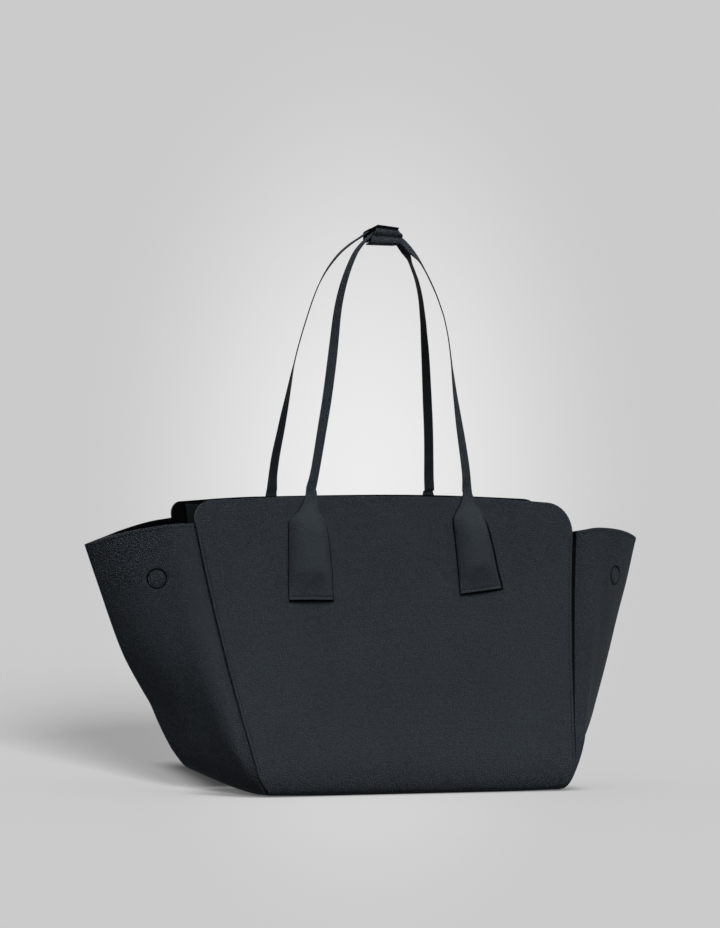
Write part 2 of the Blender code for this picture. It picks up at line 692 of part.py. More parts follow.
def make_keeper(leathers, collection):
    front, back, top, bottom = keeper_sizes()
    middle = Vector((0.0, (front + back) / 2, HANDLE_TOP_HEIGHT))
    soft = KEEPER_EDGE
    channel = [
        (front, bottom), (back - soft, bottom), (back, bottom + soft), (back, top - soft), (back - soft, top),
        (front, top),
    ]
    sheet("keeper_band", keeper_rows(channel), KEEPER_LEATHER, leathers["outer"], collection, middle)

    pivot = keeper_pivot()
    face_y = pivot.y - KEEPER_LEATHER / 2
    under = bottom - GAP - KEEPER_MAGNET_THICKNESS - GAP - KEEPER_MAGNET_THICKNESS - GAP - KEEPER_LEATHER
    start = pivot.z - HANDLE_TOP_HEIGHT
    cover = [
        (face_y, start), (face_y, under + soft), (face_y + soft, under), (face_y + KEEPER_FLAP_TURN, under),
    ]
    sheet("keeper_flap", keeper_rows(cover), KEEPER_LEATHER, leathers["outer"], collection, middle, pivot)

    magnet_y = face_y + KEEPER_FLAP_TURN - KEEPER_MAGNET_RADIUS - 0.001
    upper = HANDLE_TOP_HEIGHT + bottom - GAP - KEEPER_MAGNET_THICKNESS / 2
    lower = HANDLE_TOP_HEIGHT + under + KEEPER_LEATHER + GAP + KEEPER_MAGNET_THICKNESS / 2
    for name, height in (("keeper_band_magnet", upper), ("keeper_flap_magnet", lower)):
        place = Vector((0.0, magnet_y, height))
        disc(name, KEEPER_MAGNET_RADIUS, KEEPER_MAGNET_THICKNESS, place, Vector((0.0, 0.0, 1.0)),
             leathers["steel"], collection, 16)


def make_wing_magnet(side, face, leathers, collection):
    name = tab_name(face, side)
    step = 0.01
    across, up = MAGNET_ACROSS_SHARE, MAGNET_HEIGHT_SHARE
    place = gusset_point(side, face, across, up)
    over = gusset_point(side, face, across + step, up) - gusset_point(side, face, across - step, up)
    rise = gusset_point(side, face, across, up + step) - gusset_point(side, face, across, up - step)
    inward = over.cross(rise).normalized()
    if inward.y * face > 0:
        inward.negate()
    seat = GUSSET_LEATHER + MAGNET_SEAT
    centre = place + inward * (seat + MAGNET_THICKNESS / 2)
    disc(name + "_wing_magnet", MAGNET_RADIUS, MAGNET_THICKNESS, centre, inward, leathers["steel"], collection)
    inner_top = seat - GUSSET_LEATHER + MAGNET_THICKNESS + GAP
    outer_top = inner_top + COVER_LEATHER
    hollow = MAGNET_RADIUS + GAP
    profile = (
        (0.0, outer_top), (hollow, outer_top), (hollow + 2 * COVER_LEATHER, COVER_RIM_SEAT + COVER_LEATHER),
        (COVER_RADIUS, COVER_RIM_SEAT + COVER_LEATHER), (COVER_RADIUS, COVER_RIM_SEAT),
        (hollow, COVER_RIM_SEAT), (hollow, inner_top), (0.0, inner_top),
    )
    centre = place + inward * GUSSET_LEATHER
    turned(name + "_magnet_cover", profile, centre, inward, leathers["outer"], collection)


def bounds(things):
    graph = bpy.context.evaluated_depsgraph_get()
    corners = []
    for thing in things:
        ready = thing.evaluated_get(graph)
        corners += [ready.matrix_world @ Vector(corner) for corner in ready.bound_box]
    low = Vector([min(corner[i] for corner in corners) for i in range(3)])
    high = Vector([max(corner[i] for corner in corners) for i in range(3)])
    return low, high


def carry(things, parent, place):
    """Parents things to an empty at place, leaving them where they are."""
    for thing in things:
        thing.location -= place
        thing.parent = parent


def empty(name, place, collection):
    holder = bpy.data.objects.new(name, None)
    holder.empty_display_size = 0.02
    holder.location = place
    collection.objects.link(holder)
    return holder


def main():
    for thing in list(bpy.data.objects):
        bpy.data.objects.remove(thing, do_unlink=True)
    collection = bpy.data.collections.new("tote_bag")
    bpy.context.scene.collection.children.link(collection)
    leathers = {
        "outer": leather("grained_leather", (0.020, 0.027, 0.034), 0.55),
        "lining": leather("lining", (0.012, 0.014, 0.017), 0.8),
        "board": leather("fibre_board", (0.25, 0.20, 0.15), 0.9),
        "felt": leather("felt", (0.05, 0.05, 0.05), 0.95),
        "steel": leather("steel", (0.55, 0.55, 0.56), 0.35, 1.0),
    }
    for face in (FRONT, BACK):
        make_panel(face, leathers["outer"], collection)
        make_lining(face, leathers["lining"], collection)
        for leg in (LEFT, RIGHT):
            make_tab(face, leg, leathers, collection)
            make_wing_magnet(leg, face, leathers, collection)
    for side in (LEFT, RIGHT):
        make_gusset(side, leathers["outer"], collection)
    make_base(leathers, collection)
    make_pocket(leathers["lining"], collection)
    front_handle = make_handle(FRONT, leathers["outer"], collection)
    back_handle = make_handle(BACK, leathers["outer"], collection)
    make_keeper(leathers, collection)

    pieces = list(collection.objects)
    bpy.context.view_layer.update()
    low, high = bounds(pieces)
    parts = {piece.name: piece for piece in pieces}
    root = empty("bag_frame", Vector(), collection)
    front_axis = empty("front_handle_axis", handle_pivot(FRONT), collection)
    back_axis = empty("back_handle_axis", handle_pivot(BACK), collection)
    flap_axis = empty("keeper_flap_axis", keeper_pivot(), collection)
    carry([front_handle], front_axis, front_axis.location)
    band_pieces = [back_handle, parts["keeper_band"], parts["keeper_band_magnet"], flap_axis]
    flap_pieces = [parts["keeper_flap"], parts["keeper_flap_magnet"]]
    carry(flap_pieces, flap_axis, keeper_pivot())
    carry(band_pieces, back_axis, back_axis.location)
    moving = set(band_pieces + flap_pieces + [front_handle])
    carry([piece for piece in pieces if piece not in moving] + [front_axis, back_axis], root, root.location)
    root.location = Vector((0.0, -(low.y + high.y) / 2, 0.0))
    bpy.context.view_layer.update()
    for holder in (front_axis, back_axis, flap_axis):
        print(holder.name, [round(value, 5) for value in holder.matrix_world.translation])
    print("moved to centre by", round(root.location.y, 5))


main()
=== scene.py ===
# %% [markdown]
# # A leather tote with folded-out wings
#
# The real bag is two trapezoid panels, two gussets that fold outwards into wings, a soft base, and two long
# straps whose ends widen into domed tabs. Everything is cut from one pebble-grained leather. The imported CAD
# model gives the place of every piece, and this file dresses it: each leather piece is remade from the same
# named sizes as a finer sheet with real thickness, rounded cut edges, stitches and grain.

# %% Tools and the frame
import json
import math

import bmesh
import bpy
from mathutils import Matrix, Vector, noise


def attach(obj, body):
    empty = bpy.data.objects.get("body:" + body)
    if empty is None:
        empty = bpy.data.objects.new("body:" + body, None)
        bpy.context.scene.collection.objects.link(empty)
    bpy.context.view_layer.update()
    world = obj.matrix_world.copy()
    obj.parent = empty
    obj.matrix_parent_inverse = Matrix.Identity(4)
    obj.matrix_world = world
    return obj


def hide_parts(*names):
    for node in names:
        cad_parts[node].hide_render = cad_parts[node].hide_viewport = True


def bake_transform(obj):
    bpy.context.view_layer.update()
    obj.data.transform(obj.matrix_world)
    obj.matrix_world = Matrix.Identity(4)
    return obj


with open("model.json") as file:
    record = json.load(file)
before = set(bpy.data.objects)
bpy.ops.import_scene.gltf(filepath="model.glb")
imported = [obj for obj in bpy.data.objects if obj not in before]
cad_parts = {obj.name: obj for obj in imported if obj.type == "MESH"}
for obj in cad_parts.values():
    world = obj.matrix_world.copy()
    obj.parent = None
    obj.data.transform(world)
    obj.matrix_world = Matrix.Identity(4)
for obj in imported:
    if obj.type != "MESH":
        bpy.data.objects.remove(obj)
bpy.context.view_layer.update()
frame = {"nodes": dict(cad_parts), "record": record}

FRONT, BACK = -1, 1
LEFT, RIGHT = -1, 1
FACE_NAMES = {FRONT: "front", BACK: "back"}
SIDE_NAMES = {LEFT: "left", RIGHT: "right"}


def named(face, side, what):
    return "_".join((FACE_NAMES[face], SIDE_NAMES[side], what))


# %% [markdown]
# ## The camera
#
# Perspective is part of a likeness, so the camera comes first. A long lens from nearly five metres keeps the
# panels' sides straight and shows no top of the base. The bag is turned so that its left wing comes forward.

# %% Camera
VIEW_AZIMUTH = math.radians(27.0)
VIEW_ROLL = math.radians(0.4)
VIEW_DISTANCE = 4.764
AIM_POINT = Vector((0.0, 0.0, 0.280))
PIXELS_PER_METRE = 1029.0
AIM_PIXEL = (385.3, 501.3)
PICTURE = (720, 928)
SENSOR = 36.0


def place_camera():
    right = Vector((math.cos(VIEW_AZIMUTH), -math.sin(VIEW_AZIMUTH), 0.0))
    forward = Vector((math.sin(VIEW_AZIMUTH), math.cos(VIEW_AZIMUTH), 0.0))
    up = right.cross(forward)
    rolled_right = right * math.cos(VIEW_ROLL) + up * math.sin(VIEW_ROLL)
    rolled_up = up * math.cos(VIEW_ROLL) - right * math.sin(VIEW_ROLL)
    camera = bpy.data.cameras.new("camera")
    camera.sensor_width = SENSOR
    camera.lens = PIXELS_PER_METRE * VIEW_DISTANCE * SENSOR / PICTURE[1]
    camera.shift_x = (PICTURE[0] / 2 - AIM_PIXEL[0]) / PICTURE[1]
    camera.shift_y = (AIM_PIXEL[1] - PICTURE[1] / 2) / PICTURE[1]
    camera.clip_end = 200.0
    holder = bpy.data.objects.new("camera", camera)
    bpy.context.scene.collection.objects.link(holder)
    facing = Matrix((rolled_right, rolled_up, -forward)).transposed().to_4x4()
    facing.translation = AIM_POINT - forward * VIEW_DISTANCE
    holder.matrix_world = facing
    bpy.context.scene.camera = holder
    print("camera lens, mm:", round(camera.lens, 1))


place_camera()

# %% [markdown]
# ## Small number helpers
#
# A soft bag is all smooth curves, so nearly every size below is mixed between two values with one of these.

# %% Helpers for curves
def mix(start, end, share):
    return start + (end - start) * share


def hump(share):
    """0 at both ends and 1 half way."""
    return 4 * share * (1 - share)


def smooth(value):
    value = min(max(value, 0.0), 1.0)
    return value * value * (3 - 2 * value)


def evenly(start, end, steps):
    return [mix(start, end, i / steps) for i in range(steps + 1)]


def bell(distance, width):
    """1 at no distance, falling softly to nearly 0 at twice the width."""
    return math.exp(-((distance / width) ** 2))


def square_to(over, rise, outside):
    """Unit vector square to two directions, on the side that outside points to."""
    square = over.cross(rise).normalized()
    return square if square.dot(outside) > 0 else -square


def merged(*runs, least):
    """Sorted stations along an edge from several runs, none closer together than least."""
    stations = []
    for value in sorted(value for run in runs for value in run):
        if not stations or value - stations[-1] >= least:
            stations.append(value)
    return stations


def through(stations, value):
    """Amount at a value on the smooth curve through (value, amount) stations, level beyond its ends."""
    if value <= stations[0][0]:
        return stations[0][1]
    if value >= stations[-1][0]:
        return stations[-1][1]
    i = max(k for k in range(len(stations) - 1) if stations[k][0] <= value)

    def slope(k):
        before, after = stations[max(k - 1, 0)], stations[min(k + 1, len(stations) - 1)]
        return (after[1] - before[1]) / (after[0] - before[0])

    run = stations[i + 1][0] - stations[i][0]
    share = (value - stations[i][0]) / run
    straight = mix(stations[i][1], stations[i + 1][1], smooth(share))
    leaving = slope(i) * run * share * (1 - share) ** 2
    arriving = slope(i + 1) * run * share**2 * (1 - share)
    return straight + leaving - arriving


print("a smooth step a quarter of the way up:", smooth(0.25))


# %% [markdown]
# ## Leather, thread and the hidden materials
#
# Dark leather shows its shape by its gloss more than by its colour. The grain is a net of fine creases
# between small pebbles. A Voronoi texture's distance to the cell edges gives that net, and a little noise
# added to the coordinates keeps the pebbles from looking machine-made. Bump carries the relief, because the
# pebbles are only about a millimetre wide and a tenth of that high.

# %% Expressions on sockets
class Wire:
    """One output socket of a node tree. Sums and products of wires add Math nodes to that tree."""

    def __init__(self, tree, socket=None):
        self.tree = tree
        self.socket = socket

    def node(self, kind, settings=None, sockets=None, output=0):
        """Adds a shader node: its settings first, then the values or wires of its sockets."""
        made = self.tree.nodes.new("ShaderNode" + kind)
        for name, value in (settings or {}).items():
            setattr(made, name, value)
        for name, value in (sockets or {}).items():
            if isinstance(value, Wire):
                self.tree.links.new(value.socket, made.inputs[name])
            else:
                made.inputs[name].default_value = value
        return Wire(self.tree, made.outputs[output])

    def math(self, operation, first, second):
        return self.node("Math", {"operation": operation}, {0: first, 1: second})

    def __add__(self, other):
        return self.math("ADD", self, other)

    def __sub__(self, other):
        return self.math("SUBTRACT", self, other)

    def __rsub__(self, other):
        return self.math("SUBTRACT", other, self)

    def __mul__(self, other):
        return self.math("MULTIPLY", self, other)

    def __truediv__(self, other):
        return self.math("DIVIDE", self, other)

    __radd__ = __add__
    __rmul__ = __mul__

    def dot(self, direction):
        sockets = {0: self, 1: direction}
        return self.node("VectorMath", {"operation": "DOT_PRODUCT"}, sockets, output=1)

    def noise(self, scale, detail, output=0):
        """Noise over the place that this wire carries."""
        return self.node("TexNoise", None, {"Vector": self, "Scale": scale, "Detail": detail}, output)

    def between(self, low, high):
        """0 below low, 1 above high and smooth between them."""
        settings = {"interpolation_type": "SMOOTHSTEP"}
        return self.node("MapRange", settings, {"Value": self, "From Min": low, "From Max": high})

    def tint(self, dark, light):
        """A colour between dark, where this wire is 0, and light, where it is 1."""
        ends = [end if isinstance(end, Wire) else (*end, 1.0) for end in (dark, light)]
        return self.node("Mix", {"data_type": "RGBA"}, {0: self, 6: ends[0], 7: ends[1]}, output=2)


def new_finish(name):
    """A material with its Principled shader, and a wire to start expressions from."""
    material = bpy.data.materials.new(name)
    material.use_nodes = True
    shader = material.node_tree.nodes["Principled BSDF"]
    return material, shader, Wire(material.node_tree)


def feed(shader, colour, roughness, height, relief, **amounts):
    """Joins wires to a shader, the height as Bump, and sets its plain amounts by socket name."""
    bump = height.node("Bump", None, {"Height": height, "Distance": relief, "Strength": 1.0})
    for socket, wire in (("Base Color", colour), ("Roughness", roughness), ("Normal", bump)):
        height.tree.links.new(wire.socket, shader.inputs[socket])
    for socket, amount in amounts.items():
        shader.inputs[socket.replace("_", " ")].default_value = amount


# %% Pebble-grained leather
def grained_leather(name, crease, pebble, grain=0.0020, relief=0.00045, gloss=0.50, specular=0.05):
    """Leather with pebbles about grain metres wide and relief metres high."""
    material, shader, start = new_finish(name)
    place = start.node("TexCoord", output="Object")
    drift = place.noise(0.45 / grain, 1.0, output=1)
    shift = {0: drift, 1: (grain * 0.9,) * 3, 2: place}
    warped = place.node("VectorMath", {"operation": "MULTIPLY_ADD"}, shift)
    cells = {"Vector": warped, "Scale": 1.0 / grain, "Randomness": 0.9}
    cushion = place.node("TexVoronoi", {"feature": "DISTANCE_TO_EDGE"}, cells).between(0.0, 0.30)
    pebble_tone = place.node("TexVoronoi", {"feature": "F1"}, cells, output=1)
    tone = pebble_tone.node("RGBToBW", None, {"Color": pebble_tone})
    fine, cloud, patch = place.noise(4200.0, 2.0), place.noise(14.0, 3.0), place.noise(120.0, 2.0)
    shade = cushion * 0.45 + tone * 0.20 + cloud * 0.25 + patch * 0.10
    roughness = gloss + 0.10 * fine + 0.10 * (1 - cushion)
    height = cushion * (0.75 + 0.35 * tone) + 0.12 * fine + 0.5 * patch
    feed(shader, shade.tint(crease, pebble), roughness, height, relief, Specular_IOR_Level=specular)
    return material


def plain_finish(name, dark, light, scale, roughness, relief=0.00005, metallic=0.0, specular=0.4):
    """A finish of fine noise: for lining, edge paint, thread, felt, board and steel."""
    material, shader, start = new_finish(name)
    place = start.node("TexCoord", output="Object")
    speck, cloud = place.noise(scale, 4.0), place.noise(scale / 20, 2.0)
    colour = (speck * 0.6 + cloud * 0.4).tint(dark, light)
    varied = roughness + 0.12 * (speck - 0.5)
    feed(shader, colour, varied, speck, relief, Metallic=metallic, Specular_IOR_Level=specular)
    return material


BODY_LEATHER = grained_leather("body_leather", (0.0130, 0.0158, 0.0192), (0.0398, 0.0484, 0.0584))
# The same leather as the body, with a finer grain, painted paler on the straps, tabs and keeper: the extra
# lightness is painted light.
STRAP_LEATHER_PAINTED_LIGHTER = grained_leather(
    "strap_leather_painted_lighter", (0.0190, 0.0230, 0.0276), (0.0450, 0.0548, 0.0655), grain=0.0016
)
BACK_TONE, BACK_TONE_STEP = Vector((0.0086, 0.0104, 0.0122)), Vector((0.0020, 0.0025, 0.0030))
BACK_LIGHT, BACK_LIGHT_STEP = Vector((0.0186, 0.0226, 0.0262)), Vector((0.0048, 0.0058, 0.0070))
STRAP_BACK_SHADES = [  # the straps' inner side in painted shade, darkest low down and a little paler with every step towards the twist
    plain_finish(
        "strap_back_shade_" + str(i), BACK_TONE + i * BACK_TONE_STEP, BACK_LIGHT + i * BACK_LIGHT_STEP,
        scale=1500.0, roughness=0.60, specular=0.05,
    )
    for i in range(5)
]
LINING = plain_finish(
    "lining", (0.0014, 0.0020, 0.0023), (0.0066, 0.0090, 0.0102), scale=900.0, roughness=0.70, specular=0.05
)
INNER_SIDE = plain_finish(
    "inner_side", (0.0004,) * 3, (0.0009, 0.0009, 0.0010), scale=900.0, roughness=0.80, specular=0.03
)
# Black edge paint for the cut edges. The same black also serves as painted shade: in the right wing's seam
# crease, under the tabs and in the rings' grooves.
EDGE_PAINT_AND_SHADE = plain_finish(
    "edge_paint", (0.0010, 0.0012, 0.0015), (0.0022, 0.0026, 0.0032), scale=700.0, roughness=0.60,
    specular=0.02,
)
PALE_EDGE = plain_finish(
    "pale_edge_paint", (0.0260, 0.0300, 0.0340), (0.0400, 0.0450, 0.0500), scale=700.0, roughness=0.45,
    specular=0.3,
)
THREAD = plain_finish(
    "thread", (0.0035, 0.0042, 0.0050), (0.0080, 0.0095, 0.0110), scale=3000.0, roughness=0.60, specular=0.1
)
FELT = plain_finish(
    "pressed_felt", (0.020, 0.020, 0.021), (0.055, 0.055, 0.056), scale=1500.0, roughness=0.95, relief=0.0002
)
BOARD = plain_finish(
    "fibre_board", (0.16, 0.12, 0.085), (0.30, 0.24, 0.18), scale=600.0, roughness=0.85, relief=0.0001
)
STEEL = plain_finish(
    "nickel_plate", (0.46, 0.46, 0.46), (0.60, 0.60, 0.61), scale=400.0, roughness=0.32, relief=0.00001,
    metallic=1.0, specular=0.5,
)
print("materials:", len(bpy.data.materials))

# %% [markdown]
# ## The body's shape
#
# One set of formulas gives every point of the body, so that panels, gussets, base, linings and stitches agree
# without fitting. A panel point is given by its share of the half width, across, its height share, up, and a
# depth into the bag from the outer face.

# %% Sizes of the body, metres
PANEL_HEIGHT = 0.280
TOP_ARCH = 0.005
BASE_WIDTH = 0.338
TOP_WIDTH = 0.416
SIDE_BELLY = 0.001
BASE_DEPTH = 0.166
MOUTH_AT_CORNERS = 0.062
MOUTH_AT_MIDDLE = 0.086
SIDE_DRAW = 0.008
PANEL_FULLNESS = 0.0015
LEAN_BACK = 0.030
TOP_CORNERS = {  # radius, droop and inset of the panels' top corners, no two alike on soft leather
    (FRONT, LEFT): (0.020, 0.0010, 0.0),
    (FRONT, RIGHT): (0.031, 0.0018, -0.001),
    (BACK, LEFT): (0.012, 0.0020, 0.005),
    (BACK, RIGHT): (0.022, 0.0, 0.0),
}
BACK_TOP_RISE = 0.0024
BOTTOM_EDGE_RADIUS = 0.008
BOTTOM_TURN = 0.0168
FLAT_SHARE = 0.55
FRONT_CORNER_LIFT = 0.001
END_LIFT = 0.022

ROLL_HEIGHT = 0.036
ROLL_DEPTH = 0.0158
CORNER_ROUND = 0.011
CORNER_HEIGHT = 0.024

PANEL_LEATHER = 0.0020
GUSSET_LEATHER = 0.0018
BASE_LEATHER = 0.0025
BOARD_THICKNESS = 0.0020
PATCH_THICKNESS = 0.0008
LINING_THICKNESS = 0.0008
GAP = 0.0003
BODY_MIDDLE = Vector((0.0, LEAN_BACK / 2, PANEL_HEIGHT / 2))
FINE_EDGE = 0.0002  # how far the cut edges of thin pieces are rounded
print("body at the rim, m:", TOP_WIDTH, "wide,", PANEL_HEIGHT, "high")

# %% Points of the panels
def base_lift(across, along):
    """Height of the curled base above the floor. along runs from -1 at the front to 1 at the back."""
    end = smooth((abs(across) - FLAT_SHARE) / (1 - FLAT_SHARE)) if abs(across) < 1 else 1.0
    rise = max(1 + min(along, 0.0), 0.0) ** 2
    return end * mix(FRONT_CORNER_LIFT, END_LIFT, rise)


def panel_foot(face, across):
    return BOTTOM_EDGE_RADIUS + base_lift(across, face)


def panel_half_width(up):
    return mix(BASE_WIDTH, TOP_WIDTH, up) / 2 + SIDE_BELLY * hump(up)


def side_of(across):
    return RIGHT if across > 0 else LEFT


def panel_face(face, across, up):
    """Point on the outer face of the front or back panel, which rolls in at its foot."""
    edge = mix(BASE_DEPTH, MOUTH_AT_CORNERS, up) / 2 - SIDE_DRAW * hump(up)
    top_bow = (MOUTH_AT_MIDDLE - MOUTH_AT_CORNERS) / 2
    bow = top_bow * up + PANEL_FULLNESS * hump(up)
    height = mix(panel_foot(face, across), PANEL_HEIGHT, up)
    above = max(height - base_lift(across, face), 0.0)
    rolled = max(1 - above / ROLL_HEIGHT, 0.0)
    roll = ROLL_DEPTH * (1 - math.sqrt(1 - rolled**2))
    beside = CORNER_ROUND * max(1 - above / CORNER_HEIGHT, 0.0) ** 2 * smooth((abs(across) - 0.8) / 0.2)
    corner = smooth((abs(across) - 0.7) / 0.3) * smooth((up - 0.6) / 0.4)
    inset = TOP_CORNERS[face, side_of(across)][2] * corner
    return Vector((
        across * panel_half_width(up) - side_of(across) * (beside + inset),
        face * (edge + bow * (1 - across * across) - roll) + LEAN_BACK * up,
        height,
    ))


def panel_outward(face, across, up):
    step = 0.001
    right = panel_face(face, across + step, up) - panel_face(face, across - step, up)
    rise = panel_face(face, across, up + step) - panel_face(face, across, up - step)
    return square_to(right, rise, Vector((0.0, face, 0.0)))


def panel_point(face, across, up, depth):
    """Point at a depth below a panel's outer face. A negative depth lies in front of it."""
    return panel_face(face, across, up) - panel_outward(face, across, up) * depth


def panel_top(face, across):
    """Height of a panel's top edge, with its rounded corners."""
    radius, droop, _ = TOP_CORNERS[face, side_of(across)]
    into_corner = abs(across) * TOP_WIDTH / 2 - (TOP_WIDTH / 2 - radius)
    drop = droop * smooth(2 * abs(across) - 1)
    if into_corner > 0:
        drop += radius - math.sqrt(max(radius**2 - into_corner**2, 0.0))
    rise = BACK_TOP_RISE * smooth((across * TOP_WIDTH / 2 + 0.10) / 0.22) if face == BACK else 0.0
    return PANEL_HEIGHT + TOP_ARCH * (1 - across * across) + rise - drop


def up_at(face, across, height):
    foot = panel_foot(face, across)
    return (height - foot) / (PANEL_HEIGHT - foot)


def on_panel(face, x, height, depth):
    """Point at a place x, height on a panel, for pieces that lie on it."""
    up = up_at(face, x / panel_half_width(height / PANEL_HEIGHT), height)
    return panel_point(face, x / panel_half_width(up), up, depth)


print("middle of the front rim, m:", panel_face(FRONT, 0.0, 1.0))


# %% [markdown]
# ## Sheets of leather
#
# A cut sheet has a grained face, a smooth back and a painted edge. Rows of points on the outer face make a
# grid; Solidify gives it thickness and puts the edge's faces in a second material, and a small Bevel rounds
# the cut, which is what catches the light on a real edge.

# %% Sheet builder
def new_piece(name, mesh, materials, body="bag"):
    for material in materials:
        mesh.materials.append(material)
    piece = bpy.data.objects.new(name, mesh)
    bpy.context.scene.collection.objects.link(piece)
    if body:
        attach(piece, body)
    return piece


def finished(name, builder, outwards=True, soft=True):
    """The mesh of a finished builder."""
    if outwards:
        bmesh.ops.recalc_face_normals(builder, faces=builder.faces)
    mesh = bpy.data.meshes.new(name)
    builder.to_mesh(mesh)
    builder.free()
    if soft:
        mesh.shade_smooth()
    return mesh


def grid_mesh(name, rows, inside):
    """A mesh over rows of points, its faces turned away from the point inside."""
    builder = bmesh.new()
    grid = [[builder.verts.new(point) for point in row] for row in rows]
    for low, high in zip(grid, grid[1:]):
        for corners in zip(low, low[1:], high[1:], high):
            builder.faces.new(corners)
    builder.normal_update()
    towards = sum(face.normal.dot(inside - face.calc_center_median()) for face in builder.faces)
    if towards > 0:
        bmesh.ops.reverse_faces(builder, faces=builder.faces)
    return finished(name, builder, outwards=False)


def ring(builder, centre, first, second, radius, sides):
    """Corners round a centre, in the plane of two unit vectors."""
    turns = evenly(0.0, 2 * math.pi, sides)[:-1]
    return [builder.verts.new(centre + (first * math.cos(t) + second * math.sin(t)) * radius) for t in turns]


def join(builder, low, high):
    """The faces between two rings. A ring may be one corner repeated."""
    pairs = [(low[i - 1], low[i], high[i], high[i - 1]) for i in range(len(low))]
    return [builder.faces.new(list(dict.fromkeys(corners))) for corners in pairs]


def round_cut_edges(piece, width):
    bevel = piece.modifiers.new("Cut edge", "BEVEL")
    bevel.width = width
    bevel.segments = 2
    bevel.limit_method = "ANGLE"
    bevel.angle_limit = math.radians(55)


def leather_sheet(
    name, rows, thickness, inside, finish, round_edge=0.0005, body="bag", even=True
):
    """A closed sheet; finish gives the materials of its face, its rounded cut edge and its inner side."""
    piece = new_piece(name, grid_mesh(name, rows, inside), finish, body)
    solidify = piece.modifiers.new("Thickness", "SOLIDIFY")
    solidify.thickness = thickness
    solidify.offset = -1
    solidify.use_even_offset = even
    solidify.use_quality_normals = True
    solidify.material_offset_rim = 1
    solidify.material_offset = 2
    round_cut_edges(piece, round_edge)
    return piece


# %% Stitches
STITCH_PITCH = 0.0034
STITCH_LENGTH = 0.0025
STITCH_RADIUS = 0.00034
STITCH_SIDES = 6
STITCH_SHAPE = (  # reach, size, sink
    (-0.5, 0.35, -0.6), (-0.28, 1.0, 0.3), (0.28, 1.0, 0.3), (0.5, 0.35, -0.6),
)


def stitch_row(name, place, outward, steps=200):
    """Stitches along place(share), each a thread end to end in the leather, pulled down at both ends."""
    fine = [place(share) for share in evenly(0.0, 1.0, steps)]
    builder = bmesh.new()
    travelled, due = 0.0, STITCH_PITCH / 2
    for i, (here, there) in enumerate(zip(fine, fine[1:])):
        step = (there - here).length
        while travelled + step > due:
            passed = (due - travelled) / step
            centre = here.lerp(there, passed)
            along = (there - here).normalized()
            out = outward((i + passed) / steps)
            rings = [
                ring(
                    builder, centre + along * STITCH_LENGTH * reach + out * STITCH_RADIUS * sink,
                    along.cross(out), out, STITCH_RADIUS * size, STITCH_SIDES,
                )
                for reach, size, sink in STITCH_SHAPE
            ]
            for low, high in zip(rings, rings[1:]):
                join(builder, low, high)
            builder.faces.new(rings[0][::-1])
            builder.faces.new(rings[-1])
            due += STITCH_PITCH
        travelled += step
    new_piece(name, finished(name, builder), [THREAD])


print("stitches in 100 mm:", round(0.1 / STITCH_PITCH))


# %% [markdown]
# ## Front and back panels
#
# Each panel is one sheet, stiff enough to stand but drawn in a little at its sides by the gussets. At the
# bottom it rolls under in a soft round, tighter at the corners, where the seam pinches it. Behind each handle
# tab a reinforcement is sewn inside, and its outline shows as a faint step on the outside.

# %% Panels
TABS = {  # x of a tab's left and right edges at a drop below the rim, seen from the front
    LEFT: (
        (-0.0040, -0.0912, -0.0800), (0.0, -0.0922, -0.0799), (0.0083, -0.0961, -0.0797),
        (0.0155, -0.1012, -0.0783), (0.0212, -0.1076, -0.0748), (0.0238, -0.1099, -0.0729),
        (0.0370, -0.1117, -0.0708), (0.0550, -0.1132, -0.0696), (0.0730, -0.1151, -0.0692),
        (0.0985, -0.1166, -0.0707),
    ),
    RIGHT: (
        (-0.0040, 0.0791, 0.0893), (0.0, 0.0782, 0.0906), (0.0073, 0.0753, 0.0938),
        (0.0160, 0.0694, 0.0998), (0.0215, 0.0668, 0.1020), (0.0240, 0.0666, 0.1030),
        (0.0365, 0.0671, 0.1061), (0.0523, 0.0676, 0.1096), (0.0706, 0.0677, 0.1126),
        (0.0905, 0.0678, 0.1164),
    ),
}
TAB_DROP = {LEFT: 0.0998, RIGHT: 0.0917}
TAB_SETTLE = -0.0009
TAB_EDGES = {
    (side, edge): tuple((row[0], row[1 + column]) for row in rows)
    for side, rows in TABS.items() for column, edge in enumerate((LEFT, RIGHT))
}
LEG_SPACING = 0.171
SHOULDER_DROP = 0.0235
PATCH_REACH = 0.0095
PATCH_RELIEF = 0.0006
FOLD_LINE = 0.0026
FOLD_DEPTH = 0.0004
TOP_STEP = 8


def panel_columns(face, step):
    """Shares of the half width, closer together round the top corners and beside the side edges."""
    sides = {}
    for side in (LEFT, RIGHT):
        half = TOP_WIDTH / 2
        straight = 1 - TOP_CORNERS[face, side][0] / half
        turns = [math.sin(math.radians(TOP_STEP * i)) for i in range(90 // TOP_STEP)]
        corner = [straight + (1 - straight) * turn for turn in turns]
        sides[side] = evenly(0.0, straight, round(half * straight / step)) + corner[1:] + [1.0]
    return [-share for share in sides[LEFT][:0:-1]] + sides[RIGHT]


def rim_height(face, leg):
    return panel_top(face, leg * LEG_SPACING / TOP_WIDTH)


def patch_relief(face, x, height):
    """How far the patch behind each tab pushes the panel out, with the fold beside the tab's left edge."""
    leg = side_of(x)
    drop = rim_height(face, leg) - height
    reach = TAB_DROP[leg] - SHOULDER_DROP
    inside_z = smooth((reach / 2 + 0.003 - abs(drop - SHOULDER_DROP - reach / 2)) / 0.004)
    left, right = through(TAB_EDGES[leg, LEFT], drop), through(TAB_EDGES[leg, RIGHT], drop)
    inside_x = smooth(((right - left) / 2 + PATCH_REACH - abs(x - (left + right) / 2)) / 0.004)
    return inside_z * (PATCH_RELIEF * inside_x - FOLD_DEPTH * bell(x - left + FOLD_LINE, 0.0007))


def soft_waves(x, z, seed):
    """The slight unevenness of a large soft sheet, in metres."""
    broad = noise.noise(Vector((x * 9, z * 11, seed)))
    return 0.0011 * broad + 0.0004 * noise.noise(Vector((x * 31, z * 37, seed)))


